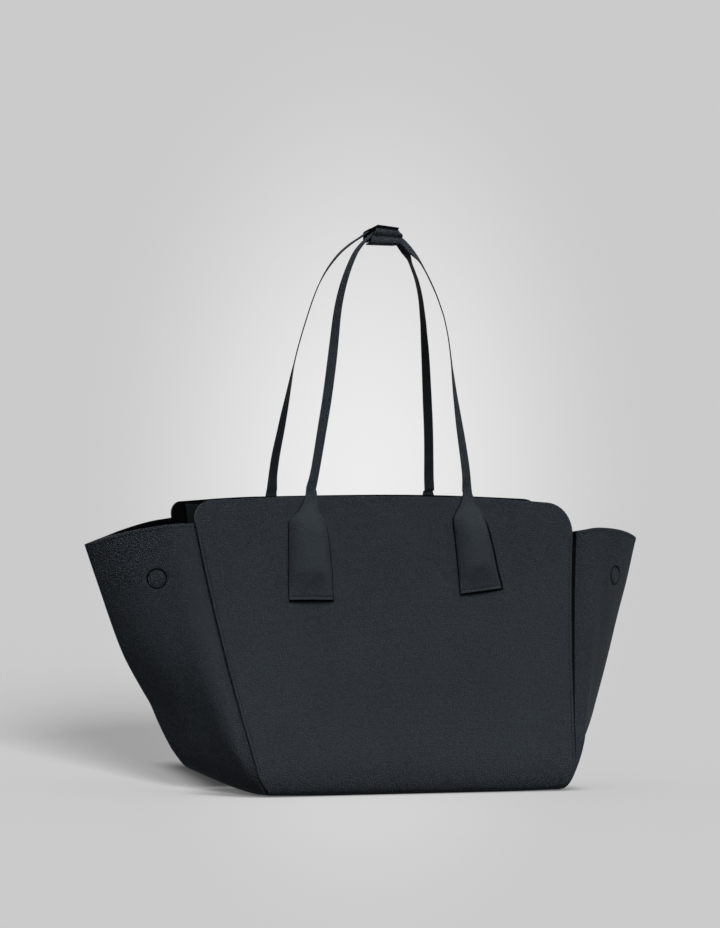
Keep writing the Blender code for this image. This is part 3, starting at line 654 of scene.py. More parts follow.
def make_panel(face, step):
    name = FACE_NAMES[face] + "_panel_leather"
    columns = panel_columns(face, step)
    turn_end = BASE_DEPTH / 2 - BOTTOM_TURN

    def at(across, above):
        return panel_face(face, across, up_at(face, across, base_lift(across, face) + above))

    rows = [[
        Vector((at(across, 0.0).x, face * turn_end, base_lift(across, face * turn_end / (BASE_DEPTH / 2))))
        for across in columns
    ]]
    for angle in evenly(0.0, 90.0, 12):
        rise = ROLL_HEIGHT * (1 - math.cos(math.radians(angle)))
        rows.append([at(across, rise) for across in columns])
    for share in evenly(0.0, 1.0, round(PANEL_HEIGHT / step))[1:]:
        row = []
        for across in columns:
            height = mix(base_lift(across, face) + ROLL_HEIGHT, panel_top(face, across), share)
            up = up_at(face, across, height)
            point = panel_face(face, across, up)
            waves = soft_waves(point.x, point.z, 3.0 * face) * hump(share) * (1 - across**6)
            push = patch_relief(face, point.x, point.z) + waves
            row.append(point + panel_outward(face, across, up) * push)
        rows.append(row)
    finish = [BODY_LEATHER, PALE_EDGE, INNER_SIDE]
    panel = leather_sheet(name, rows, PANEL_LEATHER, BODY_MIDDLE, finish, round_edge=0.0007)
    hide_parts(FACE_NAMES[face] + "_panel")
    print(name, "faces:", len(panel.data.polygons))


SIDE_STITCH_MARGIN = 0.0030
SIDE_STITCH_RUN = (0.05, 0.88)


def stitch_panel_side(face, side):
    """The seam that sews a gusset in, just inside a panel's side edge."""

    def spot(share):
        up = mix(*SIDE_STITCH_RUN, share)
        return face, side * (1 - SIDE_STITCH_MARGIN / panel_half_width(up)), up

    stitch_row(
        named(face, side, "seam_stitches"),
        lambda share: panel_point(*spot(share), -0.00015), lambda share: panel_outward(*spot(share)),
    )


make_panel(FRONT, 0.0026)
make_panel(BACK, 0.0036)
for face in (FRONT, BACK):
    for side in (LEFT, RIGHT):
        stitch_panel_side(face, side)

# %% [markdown]
# ## The gussets, folded out into wings
#
# Each gusset is one wide sheet sewn behind both panels' side edges and creased down its middle. It leaves the
# seam in the panel's own plane, rolls over softly and then runs straight to the crease. A flat magnet in each
# half shows as a pressed ring, so that the wing can be folded in and held.

# %% Sizes of the wings
SEAM_LAP = 0.005
SEAM_GAP = 0.0006
SEAM_CLEAR = 0.0015
SEAM_HEIGHTS = {(FRONT, LEFT): 0.2578, (BACK, LEFT): 0.2630, (FRONT, RIGHT): 0.251, (BACK, RIGHT): 0.257}
RIDGE = {  # reach of each fold from the bag's middle, by height
    LEFT: (
        (0.0216, 0.1976), (0.0279, 0.2105), (0.0379, 0.2208), (0.0503, 0.2276), (0.0678, 0.2350),
        (0.0853, 0.2415), (0.0977, 0.2484), (0.1262, 0.2637), (0.1453, 0.2718), (0.1671, 0.2799),
        (0.1928, 0.2893), (0.2365, 0.3064),
    ),
    RIGHT: (
        (0.0216, 0.1974), (0.0279, 0.2086), (0.0379, 0.2190), (0.0588, 0.2348), (0.0882, 0.2480),
        (0.1277, 0.2632), (0.1696, 0.2779), (0.2047, 0.2894), (0.2476, 0.2995),
    ),
}
RIM_WAVES = {  # millimetres that a rim stands above the straight line from its seam to the fold
    (FRONT, LEFT): ((0.0, 0.0), (0.2, 3.6), (0.4, 4.7), (0.55, 4.8), (0.7, 4.0), (0.85, 2.5), (1.0, 0.0)),
    (BACK, LEFT): ((0.0, 0.0), (0.19, 0.1), (0.35, 0.4), (0.5, 0.2), (0.65, -0.5), (0.81, -0.5), (1.0, 0.0)),
    (FRONT, RIGHT): (
        (0.0, -0.5), (0.08, 2.6), (0.18, 4.9), (0.38, 5.4), (0.56, 4.4), (0.75, 1.9), (0.93, -1.6),
        (1.0, -4.0),
    ),
    (BACK, RIGHT): ((0.0, -1.0), (0.2, -4.0), (0.4, -5.2), (0.6, -4.8), (0.8, -3.5), (1.0, -2.0)),
}
WING_PUFF = 0.013
WING_PUFF_UP = 0.6
RIDGE_SET_BACK = 0.011
SEAM_ROLL = 0.0060
SEAM_ROLL_PLACE = 0.15
SEAM_ROLL_START = 0.10
SEAM_ROLL_UP = 0.2
SEAM_ROLL_INNER_REACH = 0.13
SEAM_ROLL_REACH = {LEFT: 0.19, RIGHT: 0.16}
SEAM_CREASE = {LEFT: 0.0008, RIGHT: 0.0050}
SEAM_CREASE_FOOT = 0.25  # share of the crease's depth that is left at the foot
SEAM_CREASE_UP = 0.3
SEAM_CREASE_REACH = 0.045
FOOT_SETTLE_UP = 0.08
SEAM_SHADE = {LEFT: 0.0, RIGHT: 0.050}  # share of a wing's width beside its seam that is painted black
FOLD_ROUND = 0.0035
RING_ACROSS = {LEFT: 0.44, RIGHT: 0.595}
RING_UP = {LEFT: 0.8085, RIGHT: 0.816}
RING_RADIUS = 0.0090
RING_GROOVE = 0.0014
RING_PROFILE = (  # the pressed ring's groove, raised line and second groove: place, width and height
    (0.0, 0.0009, -RING_GROOVE), (-0.0010, 0.0006, 0.0003), (-0.0019, 0.0005, -0.0004),
)
RING_SHADE_LINE = 0.00055
RING_STEP = 0.00045
RING_ZONE = 0.0115
RING_REACH = 0.016
WING_CHORD = 0.115


def gusset_seam(side, face, up):
    """Point on the gusset's outer face just outside the panel's side edge."""
    low = base_lift(1.0, face) + FRONT_CORNER_LIFT
    height = mix(low, SEAM_HEIGHTS[face, side], up)
    panel_up = up_at(face, 1.0, height)
    seam = panel_face(face, side * (1 + SEAM_CLEAR / panel_half_width(panel_up)), panel_up)
    return seam - Vector((0.0, face * (PANEL_LEATHER + SEAM_GAP), 0.0))


def gusset_fold(side, up):
    """Point on the crease down the middle of a gusset."""
    height = mix(RIDGE[side][0][0], RIDGE[side][-1][0], up)
    return Vector((side * through(RIDGE[side], height), LEAN_BACK * up + RIDGE_SET_BACK * hump(up), height))


def gusset_point(side, face, across, up):
    """Point on the outer face of a wing. across runs from 0 beside the seam to 1 on the fold."""
    seam = gusset_seam(side, face, up)
    fold = gusset_fold(side, up)
    point = seam.lerp(fold, across)
    chord = fold - seam
    outward = Vector((side * abs(chord.y), face * abs(chord.x), 0.0)).normalized()
    beyond = across - SEAM_ROLL_PLACE
    reach = SEAM_ROLL_INNER_REACH if beyond < 0 else SEAM_ROLL_REACH[side]
    roll = SEAM_ROLL * smooth(up / SEAM_ROLL_UP) * bell(beyond, reach) * smooth(across / SEAM_ROLL_START)
    crease = SEAM_CREASE[side] * mix(SEAM_CREASE_FOOT, 1.0, smooth(up / SEAM_CREASE_UP))
    crease *= bell(across, SEAM_CREASE_REACH)
    point += outward * (WING_PUFF * smooth(up / WING_PUFF_UP) * hump(across) + roll - crease)
    point.z += through(RIM_WAVES[face, side], across) / 1000 * up**4
    settle = max(1 - up / FOOT_SETTLE_UP, 0.0) ** 2
    point.z += settle * (base_lift(1.0, point.y / (BASE_DEPTH / 2)) - mix(seam.z, fold.z, across))
    return point


def gusset_seam_edge(side, face, up):
    """The gusset's hidden edge, sewn in behind the panel."""
    beside = gusset_point(side, face, 0.0, up)
    panel_up = up_at(face, 1.0, beside.z)
    lap = SEAM_LAP * smooth(up / 0.04) + 0.001
    edge = panel_face(face, side * (1 - lap / panel_half_width(panel_up)), panel_up)
    return edge - Vector((0.0, face * (PANEL_LEATHER + SEAM_GAP), 0.0))


def ring_press(distance):
    """Relief of the magnet's pressed ring at a distance from its middle."""
    return sum(rise * bell(distance - RING_RADIUS - place, width) for place, width, rise in RING_PROFILE)


print("reach of the left and right folds at the rim, m:", gusset_fold(LEFT, 1.0).x, gusset_fold(RIGHT, 1.0).x)


# %% Wings
def gusset_columns(side):
    """Shares from the seam to the fold, close together where the roll, the ring and the crease are."""
    ring = RING_ACROSS[side]
    zone = RING_ZONE / WING_CHORD
    return merged(
        evenly(0.0, 0.30, 14), evenly(0.30, 0.92, 18), evenly(0.92, 1.0, 9),
        evenly(ring - zone, ring + zone, round(2 * RING_ZONE / RING_STEP)), [0.0, 1.0],
        least=0.8 * RING_STEP / WING_CHORD,
    )


def gusset_row(side, up):
    front, back = (
        [gusset_seam_edge(side, face, up)]
        + [gusset_point(side, face, share, up) for share in gusset_columns(side)]
        for face in (FRONT, BACK)
    )
    fold = len(front) - 1
    row = front + back[-2::-1]
    eased = list(row)
    near = [i for i, point in enumerate(row) if (point - row[fold]).length < 4 * FOLD_ROUND]
    for i in near:
        nearness = smooth(1 - (row[i] - row[fold]).length / (3 * FOLD_ROUND))
        total, weight_sum = Vector(), 0.0
        for j in near:
            weight = bell((row[j] - row[i]).length, FOLD_ROUND)
            weight *= (row[min(j + 1, len(row) - 1)] - row[j - 1]).length
            total += row[j] * weight
            weight_sum += weight
        eased[i] = row[i].lerp(total / weight_sum, nearness)
    return eased


def make_gusset(side):
    name = SIDE_NAMES[side] + "_wing_leather"
    height = 0.245
    zone = RING_ZONE / height
    ups = merged(
        evenly(0.0, 0.10, 10), evenly(0.10, 1.0, 70),
        evenly(RING_UP[side] - zone, RING_UP[side] + zone, round(2 * RING_ZONE / RING_STEP)),
        [0.0, 1.0], least=0.8 * RING_STEP / height,
    )
    flat = [gusset_row(side, up) for up in ups]
    rows = [list(row) for row in flat]
    centres = [gusset_point(side, face, RING_ACROSS[side], RING_UP[side]) for face in (FRONT, BACK)]
    for r in range(1, len(rows) - 1):
        for c in range(1, len(rows[r]) - 1):
            point = flat[r][c]
            nearest = min((point - centre).length for centre in centres)
            if nearest < RING_REACH:
                over, rise = flat[r][c + 1] - flat[r][c - 1], flat[r + 1][c] - flat[r - 1][c]
                rows[r][c] = point + square_to(over, rise, Vector((side, 0.0, 0.0))) * ring_press(nearest)
    finish = [BODY_LEATHER, PALE_EDGE, INNER_SIDE]
    gusset = leather_sheet(name, rows, GUSSET_LEATHER, BODY_MIDDLE, finish, round_edge=0.0004, even=False)
    gusset.data.materials.append(EDGE_PAINT_AND_SHADE)
    shaded = sum(across < SEAM_SHADE[side] for across in gusset_columns(side))
    for r in range(len(ups) - 1):
        for c in range(shaded):
            gusset.data.polygons[r * (len(rows[0]) - 1) + c].material_index = 3
    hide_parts(SIDE_NAMES[side] + "_gusset")
    print(name, "faces:", len(gusset.data.polygons))


RIM_STITCH_MARGIN = 0.0026
WING_HEIGHT = 0.235
RIM_STITCH_UP = 1 - RIM_STITCH_MARGIN / WING_HEIGHT
RIM_STITCH_RUN = (0.02, 0.97)


def stitch_wing_rim(side, face):
    """The row of stitches under a wing's turned rim."""

    def place(share, beside=0.0, below=0.0):
        return gusset_point(side, face, mix(*RIM_STITCH_RUN, share) + beside, RIM_STITCH_UP - below)

    def outward(share):
        over = place(share, 0.01) - place(share, -0.01)
        rise = place(share) - place(share, below=0.01)
        return square_to(over, rise, Vector((side, 0.0, 0.0)))

    stitch_row(named(face, side, "rim_stitches"), place, outward)


for side in (LEFT, RIGHT):
    make_gusset(side)
    for face in (FRONT, BACK):
        stitch_wing_rim(side, face)

# %% [markdown]
# ## Magnets behind the rings
#
# Each ring is the print of a nickel-plated disc under a leather round. Both are turned shapes, so a profile
# of radius and depth is spun round the ring's axis. The discs sit flat behind the curved leather.

# %% Magnets and their covers
MAGNET_RADIUS = 0.0075
MAGNET_THICKNESS = 0.0020
MAGNET_SEAT = 0.0020
COVER_RADIUS = 0.0130
COVER_LEATHER = 0.0011
TURNED_SIDES = 48
RING_SHADE_LINE_STEPS = 72


def turned(name, profile, centre, axis, materials):
    """A closed body of revolution: profile holds (radius, depth) pairs from axis to axis."""
    side = axis.orthogonal().normalized()
    builder = bmesh.new()
    rings = []
    for radius, depth in profile:
        middle = centre + axis * depth
        on_axis = radius == 0
        corners = [builder.verts.new(middle)] * TURNED_SIDES if on_axis else ring(
            builder, middle, side, axis.cross(side), radius, TURNED_SIDES
        )
        rings.append(corners)
    for low, high in zip(rings, rings[1:]):
        join(builder, low, high)
    return new_piece(name, finished(name, builder, soft=False), materials)


def ring_frame(side, face, step):
    """The ring's centre on the wing, the ways across and up there, and the unit vector outwards."""
    across, up = RING_ACROSS[side], RING_UP[side]
    centre = gusset_point(side, face, across, up)
    over = (gusset_point(side, face, across + step, up) - centre) / step
    rise = (gusset_point(side, face, across, up + step) - centre) / step
    return centre, over, rise, square_to(over, rise, Vector((side, 0.0, 0.0)))


def make_magnet(side, face):
    centre, _, _, outward = ring_frame(side, face, 0.02)
    inward = -outward
    near = GUSSET_LEATHER + MAGNET_SEAT
    far = near + MAGNET_THICKNESS
    disc = [(0.0, near), (MAGNET_RADIUS, near), (MAGNET_RADIUS, far), (0.0, far)]
    magnet = turned(named(face, side, "magnet_disc"), disc, centre, inward, [STEEL])
    round_cut_edges(magnet, 0.0003)
    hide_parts(named(face, side, "wing_magnet"))
    hollow = MAGNET_RADIUS + GAP
    rim = near + 0.0002
    cap = [
        (0.0, far + GAP + COVER_LEATHER), (hollow, far + GAP + COVER_LEATHER),
        (hollow + 2 * COVER_LEATHER, rim + COVER_LEATHER), (COVER_RADIUS, rim + COVER_LEATHER),
        (COVER_RADIUS, rim), (hollow, rim), (hollow, far + GAP), (0.0, far + GAP),
    ]
    cover = turned(named(face, side, "magnet_round"), cap, centre, inward, [INNER_SIDE])
    round_cut_edges(cover, 0.0004)
    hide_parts(named(face, side, "magnet_cover"))


def make_ring_shade_line(side, face):
    """A dark line of painted shade in the ring's groove: a thin black tube laid along it."""
    centre, over, rise, outward = ring_frame(side, face, 0.01)
    first = over.normalized()
    second = outward.cross(first)
    builder = bmesh.new()
    rings = []
    for turn in evenly(0.0, 2 * math.pi, RING_SHADE_LINE_STEPS)[:-1]:
        x, y = RING_RADIUS * math.cos(turn), RING_RADIUS * math.sin(turn)
        step_up = y / rise.dot(second)
        step_across = (x - rise.dot(first) * step_up) / over.length
        point = gusset_point(side, face, RING_ACROSS[side] + step_across, RING_UP[side] + step_up)
        away = first * math.cos(turn) + second * math.sin(turn)
        rings.append(ring(builder, point - outward * 0.6 * RING_GROOVE, away, outward, RING_SHADE_LINE, 8))
    for i, corners in enumerate(rings):
        join(builder, rings[i - 1], corners)
    name = named(face, side, "ring_shade_line")
    new_piece(name, finished(name, builder), [EDGE_PAINT_AND_SHADE])


for side in (LEFT, RIGHT):
    for face in (FRONT, BACK):
        make_magnet(side, face)
        make_ring_shade_line(side, face)
print("magnets, covers and ring lines:", 3 * len((LEFT, RIGHT)) * len((FRONT, BACK)))

# %% [markdown]
# ## Base, board and linings
#
# The base is a soft leather sheet whose pointed ends curl up to meet the wings. A board keeps its middle
# flat, and a lining covers that. Each panel has its own lining, sewn on a little inside the side edges.

# %% Base and its lining
LINING_SIDE_MARGIN = 0.016
LINING_TOP_MARGIN = 0.004
LINING_BOTTOM_HEIGHT = 0.014
BASE_SHEET_MARGIN = 0.014
BASE_END = 0.1952
BASE_CORNER = 0.1600
BASE_CORNER_PLACE = 0.076


def half_end(y):
    """Half length of the base at a place front to back, just inside the gussets' lower edges."""
    return mix(BASE_END, BASE_CORNER, min(abs(y) / BASE_CORNER_PLACE, 1.0))


def lift_at(x, y):
    return base_lift(x / (BASE_WIDTH / 2), y / (BASE_DEPTH / 2))


def above_base(x, y, height):
    """Point at a height above the base's lower face, measured square to it."""
    step = 0.002
    slope_x = (lift_at(x + step, y) - lift_at(x - step, y)) / (2 * step)
    slope_y = (lift_at(x, y + step) - lift_at(x, y - step)) / (2 * step)
    square = Vector((-slope_x, -slope_y, 1.0)).normalized()
    return Vector((x, y, lift_at(x, y))) + square * height


def base_rows(half_depth, margin, height):
    rows = []
    for y in evenly(-half_depth, half_depth, 40):
        right = evenly(0.0, half_end(y) - margin, 60)
        rows.append([above_base(x, y, height) for x in [-x for x in right[:0:-1]] + right])
    return rows


above = Vector((0.0, 0.0, PANEL_HEIGHT))
half_depth = BASE_DEPTH / 2 - BOTTOM_TURN - GAP
base_finish = [BODY_LEATHER, EDGE_PAINT_AND_SHADE, LINING]
base = leather_sheet("base_leather", base_rows(half_depth, 0.0, 0.0), BASE_LEATHER, above, base_finish)
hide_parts("base_panel")
half_depth = BASE_DEPTH / 2 - BASE_SHEET_MARGIN
lining_height = BASE_LEATHER + GAP + BOARD_THICKNESS + GAP
base_lining = leather_sheet(
    "base_lining_leather", base_rows(half_depth, BASE_SHEET_MARGIN, lining_height), LINING_THICKNESS, above,
    [LINING] * 3, FINE_EDGE,
)
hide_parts("base_lining")
print("base faces:", len(base.data.polygons))


# %% Panel linings and the pocket
POCKET_WIDTH = 0.170
POCKET_TOP_HEIGHT = 0.235
POCKET_BOTTOM_HEIGHT = 0.110
POCKET_FULLNESS = 0.0025
LINING_DEPTH = PANEL_LEATHER + GAP + PATCH_THICKNESS + GAP


def make_lining(face):
    rows = []
    for share in evenly(0.0, 1.0, 50):
        row = []
        for place in evenly(-1.0, 1.0, 70):
            height = mix(LINING_BOTTOM_HEIGHT + BOTTOM_EDGE_RADIUS, PANEL_HEIGHT - LINING_TOP_MARGIN, share)
            up = height / PANEL_HEIGHT
            across = place * (panel_half_width(up) - LINING_SIDE_MARGIN) / panel_half_width(up)
            low = base_lift(across, face) * (1 - share)
            row.append(panel_point(face, across, up_at(face, across, height + low), LINING_DEPTH))
        rows.append(row)
    name = FACE_NAMES[face] + "_lining"
    lining = leather_sheet(
        name + "_leather", rows, LINING_THICKNESS, BODY_MIDDLE, [LINING] * 3, FINE_EDGE
    )
    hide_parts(name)


def make_pocket():
    depth = LINING_DEPTH + LINING_THICKNESS + GAP
    rows = []
    for share in evenly(0.0, 1.0, 30):
        height = mix(POCKET_BOTTOM_HEIGHT, POCKET_TOP_HEIGHT, share)
        row = []
        for place in evenly(-1.0, 1.0, 40):
            fullness = POCKET_FULLNESS * share * (1 - place**2)
            row.append(on_panel(BACK, place * POCKET_WIDTH / 2, height, depth + fullness))
        rows.append(row)
    middle = Vector((0.0, 0.0, 0.17))
    pocket = leather_sheet(
        "pocket_leather", rows, LINING_THICKNESS, middle, [LINING] * 3, FINE_EDGE
    )
    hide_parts("inner_pocket")


for face in (FRONT, BACK):
    make_lining(face)
make_pocket()
print("the panels' linings lie this deep, m:", LINING_DEPTH)

# %% [markdown]
# ## Handles and their domed tabs
#
# A handle and its two tabs are one strip of leather: wide and domed over a filler where it is sewn down,
# narrow where it is held. So it is lofted as one body, section by section, from one tab's foot, up through
# its neck, over the loop, and down to the other tab. In the loop the strap turns from facing forwards to
# edge-on.

# %% Sections of the tabs
TAB_LEATHER = 0.0020
NECK_LEATHER = 0.0014
TAB_CROWN = 0.0104
TAB_CROWN_RISE = 1.6  # in shoulder drops below the rim
TAB_CROWN_FALL = 0.7  # share of a tab's length
TAB_CROWN_SHAPE = 2.6
TAB_FOOT_CROWN = 0.0016
NECK_RISE = 0.004
FOOT_SLANT = {LEFT: 0.0, RIGHT: 0.0026}
TAB_TRIM = {LEFT: 0.0007, RIGHT: 0.0024}
STITCH_PRESS = 0.0005
TAB_STITCH_MARGIN = 0.0030
SECTION_STEPS = 16


def tab_crown(leg, drop):
    rising = TAB_CROWN * smooth(drop / (TAB_CROWN_RISE * SHOULDER_DROP))
    falling = smooth((drop / TAB_DROP[leg] - TAB_CROWN_FALL) / (1 - TAB_CROWN_FALL))
    return rising - (TAB_CROWN - TAB_FOOT_CROWN) * falling


def tab_leather(drop):
    return mix(NECK_LEATHER, TAB_LEATHER, smooth(drop / SHOULDER_DROP))


def tab_point(face, leg, place, drop, lift, wider=(0.0, 0.0)):
    """Point over a tab. place runs from -1 at its left edge to 1 at its right, seen from the front."""
    left = through(TAB_EDGES[leg, LEFT], drop) - wider[0]
    right = through(TAB_EDGES[leg, RIGHT], drop) + wider[1] - TAB_TRIM[leg] * smooth(drop / TAB_DROP[leg])
    x = mix(left, right, (place + 1) / 2) + TAB_SETTLE * smooth(drop / 0.02)
    if face == BACK:
        x += leg_shift(BACK, leg, HANDLE_FOOT) * (1 - smooth(drop / 0.03))
    slant = FOOT_SLANT[leg] * place * smooth(drop / TAB_DROP[leg])
    return on_panel(face, x, rim_height(face, leg) - drop + slant, -lift)


def tab_seat(leg, place, drop):
    """Height of a tab's inner face above the panel. The row of stitches presses a groove above its foot."""
    groove = STITCH_PRESS * bell(drop - TAB_DROP[leg] + TAB_STITCH_MARGIN, 0.0010)
    return GAP + PATCH_RELIEF + tab_crown(leg, drop) * (1 - abs(place) ** TAB_CROWN_SHAPE) - groove


def tab_section(face, leg, drop):
    """Outer points from edge to edge and then inner points back, in the order of the strap's sections."""
    places = [-face * leg * place for place in evenly(-1.0, 1.0, SECTION_STEPS)]
    seats = [max(tab_seat(leg, place, drop), GAP) for place in places]
    outer, inner = (
        [tab_point(face, leg, place, drop, seat + lift) for place, seat in zip(places, seats)]
        for lift in (tab_leather(drop), 0.0)
    )
    return outer + inner[::-1]


print("points in a section:", len(tab_section(FRONT, LEFT, SHOULDER_DROP)))


# %% Sections of the straps
STRAP_WIDTH = 0.0091
FOOT_WIDENING = {  # extra width at a leg's foot and the length over which it goes
    (FRONT, LEFT): (0.0013, 0.012),
    (FRONT, RIGHT): (0.0012, 0.009),
    (BACK, LEFT): (0.0018, 0.011),
    (BACK, RIGHT): (0.0010, 0.030),
}
EVEN_SHIFT = 0.6
STRAP_THICKNESS = 0.0009
STRAP_CROWN = 0.0002
STRAP_FOOT_LENGTH = 0.011
FOOT_SET_BACK = 0.0016
HANDLE_FOOT = 0.289
HANDLE_TOP_HEIGHT = 0.545
HANDLE_SHOULDER = 0.039
HANDLE_LEG_RISE = 0.189
FOOT_POINT = {FRONT: (-0.01216, 0.28916), BACK: (0.07412, 0.28859)}
LEG_INSET = {FRONT: 0.026, BACK: 0.0105}
LEG_SWAY = {FRONT: -0.007, BACK: -0.0215}
CROWN_Y = {FRONT: 0.009, BACK: 0.020}
TWIST = {  # degrees turned from facing forwards, by height
    (FRONT, LEFT): (
        (0.290, 0), (0.335, 8), (0.375, 20), (0.410, 30), (0.424, 39), (0.437, 48), (0.458, 60), (0.474, 67),
        (0.490, 73), (0.506, 80), (0.530, 88),
    ),
    (FRONT, RIGHT): (
        (0.305, 0), (0.335, 9), (0.351, 17), (0.367, 28), (0.383, 39), (0.398, 48), (0.406, 53.5),
        (0.414, 58), (0.437, 61), (0.476, 61), (0.492, 60), (0.507, 60), (0.516, 54), (0.522, 38),
        (0.527, 31), (0.535, 36), (0.5405, 60), (0.544, 84),
    ),
    (BACK, LEFT): (
        (0.305, 0), (0.320, 2), (0.335, 10), (0.351, 17), (0.366, 26), (0.382, 38), (0.398, 50), (0.406, 56),
        (0.414, 62), (0.437, 63), (0.476, 64), (0.492, 67), (0.507, 76), (0.522, 83), (0.530, 86),
    ),
    (BACK, RIGHT): (
        (0.290, 8), (0.320, 18), (0.345, 28), (0.380, 38), (0.390, 45), (0.416, 56), (0.432, 65),
        (0.447, 76), (0.463, 84), (0.478, 91), (0.494, 96), (0.508, 100), (0.516, 97), (0.521, 75),
        (0.526, 48), (0.531, 40), (0.537, 46), (0.543, 80),
    ),
}
LEG_SHIFT = {  # millimetres that a leg hangs to the right of the even curve, by height
    (FRONT, LEFT): (
        (0.289, -1.3), (0.304, -0.5), (0.327, 0.2), (0.354, 0.7), (0.374, 1.1), (0.393, 0.9), (0.416, 0.2),
        (0.439, -1.1), (0.451, -2.0), (0.462, -2.7), (0.474, -3.0), (0.486, -2.8), (0.498, -2.2),
        (0.5095, -1.3), (0.5215, -0.1), (0.5293, 1.8), (0.5341, 3.4), (0.5409, 4.4), (0.545, 0.0),
    ),
    (FRONT, RIGHT): (
        (0.290, -1.8), (0.313, -1.6), (0.340, -2.3), (0.360, -2.7), (0.383, -2.5), (0.395, -1.9),
        (0.407, -1.1), (0.418, -0.1), (0.430, 1.0), (0.442, 2.0), (0.453, 2.5), (0.461, 2.7), (0.473, 2.1),
        (0.4845, 1.4), (0.496, 0.2), (0.508, -0.9), (0.516, -1.9), (0.523, -4.3), (0.531, -5.8),
        (0.538, -6.0), (0.545, 0.0),
    ),
    (BACK, LEFT): (
        (0.289, -2.8), (0.312, -2.7), (0.324, -2.4), (0.335, -1.7), (0.347, -0.9), (0.358, -0.5),
        (0.376, -0.1), (0.394, -0.3), (0.406, -0.7), (0.429, -1.1), (0.4525, -1.4), (0.464, -1.8),
        (0.476, -2.4), (0.487, -2.9), (0.499, -3.1), (0.507, -2.7), (0.515, -1.8), (0.5225, -0.6),
        (0.5304, 1.8), (0.5385, 4.0), (0.545, 0.0),
    ),
    (BACK, RIGHT): (
        (0.289, -0.1), (0.337, -0.1), (0.357, -0.3), (0.377, -0.7), (0.400, -0.8), (0.420, -0.5),
        (0.4435, 0.0), (0.455, 0.6), (0.467, 1.0), (0.478, 1.5), (0.486, 1.6), (0.498, 1.3), (0.505, 0.6),
        (0.513, 0.0), (0.530, -0.5), (0.540, -1.0), (0.545, 0.0),
    ),
}


def leg_of(share):
    return RIGHT if share <= 1 else LEFT


def leg_shift(face, leg, height):
    return (through(LEG_SHIFT[face, leg], height) + EVEN_SHIFT) / 1000


def handle_curve(face, share):
    """Point on a handle's centre line, from the right foot at 0 over the crown at 1 to the left foot at 2."""
    side, along = leg_of(share), min(share, 2 - share)
    foot_y, foot_z = FOOT_POINT[face]
    points = (
        Vector((side * LEG_SPACING / 2, foot_y, foot_z)),
        Vector((
            side * (LEG_SPACING / 2 - LEG_INSET[face]), foot_y + LEG_SWAY[face], foot_z + HANDLE_LEG_RISE,
        )),
        Vector((side * HANDLE_SHOULDER, CROWN_Y[face], HANDLE_TOP_HEIGHT)),
        Vector((0.0, CROWN_Y[face], HANDLE_TOP_HEIGHT)),
    )
    rest = 1 - along
    weights = (rest**3, 3 * rest**2 * along, 3 * rest * along**2, along**3)
    point = sum((point * weight for point, weight in zip(points, weights)), Vector())
    point.x += leg_shift(face, side, point.z)
    return point


def strap_section(face, share):
    """The strap's section: it faces forwards at the feet and turns to face outwards over the crown."""
    centre = handle_curve(face, share)
    step = 0.002
    low, high = max(share - step, 0.0), min(share + step, 2.0)
    tangent = (handle_curve(face, high) - handle_curve(face, low)).normalized()
    from_foot = (centre - handle_curve(face, 0.0 if share <= 1 else 2.0)).length
    turn = math.radians(through(TWIST[face, leg_of(share)], centre.z))
    forwards = Vector((0.0, float(face), 0.0))
    forwards -= tangent * forwards.dot(tangent)
    forwards.normalize()
    outwards = Vector((0.0, 1.0, 0.0)).cross(tangent).normalized()
    normal = (forwards * math.cos(turn) + outwards * math.sin(turn)).normalized()
    across = tangent.cross(normal)
    at_foot = bell(from_foot, STRAP_FOOT_LENGTH)
    extra, reach = FOOT_WIDENING[face, leg_of(share)]
    width = STRAP_WIDTH + extra * bell(from_foot, reach)
    thickness = mix(STRAP_THICKNESS, NECK_LEATHER, at_foot)
    centre.y -= face * FOOT_SET_BACK * at_foot
    outer, inner = [], []
    for place in evenly(-1.0, 1.0, SECTION_STEPS):
        spot = centre + across * (width / 2 * place)
        outer.append(spot + normal * (thickness / 2 + STRAP_CROWN * (0.5 - place**2)))
        inner.append(spot - normal * thickness / 2)
    return outer + inner[::-1]


# %% Handles
TWIST_FOOT = 0.484  # above it the painted shade on the straps' inner sides gets paler
TWISTED_HEIGHT = 0.504  # above it they are as pale as the outer ones


def closed_loft(name, sections):
    """A closed body through sections of equal length: its outer faces, its two edges and its inner faces."""
    builder = bmesh.new()
    loops = [[builder.verts.new(point) for point in section] for section in sections]
    count = len(loops[0])
    half = count // 2
    for low, high in zip(loops, loops[1:]):
        for i, side in enumerate(join(builder, low, high)):
            # inner faces take painted shade, darkest below the twist and paler step by step towards it
            shade_fade = ((low[i].co.z + high[i].co.z) / 2 - TWIST_FOOT) / (TWISTED_HEIGHT - TWIST_FOOT)
            if i in (0, half):
                side.material_index = 1
            elif i > half and shade_fade <= 1:
                side.material_index = 2 + math.floor(max(shade_fade, 0.0) * (len(STRAP_BACK_SHADES) - 0.01))
    for loop in (loops[0], loops[-1]):
        for i in range(half - 1):
            end = builder.faces.new((loop[i], loop[i + 1], loop[count - 2 - i], loop[count - 1 - i]))
            end.material_index = 1
    return finished(name, builder)


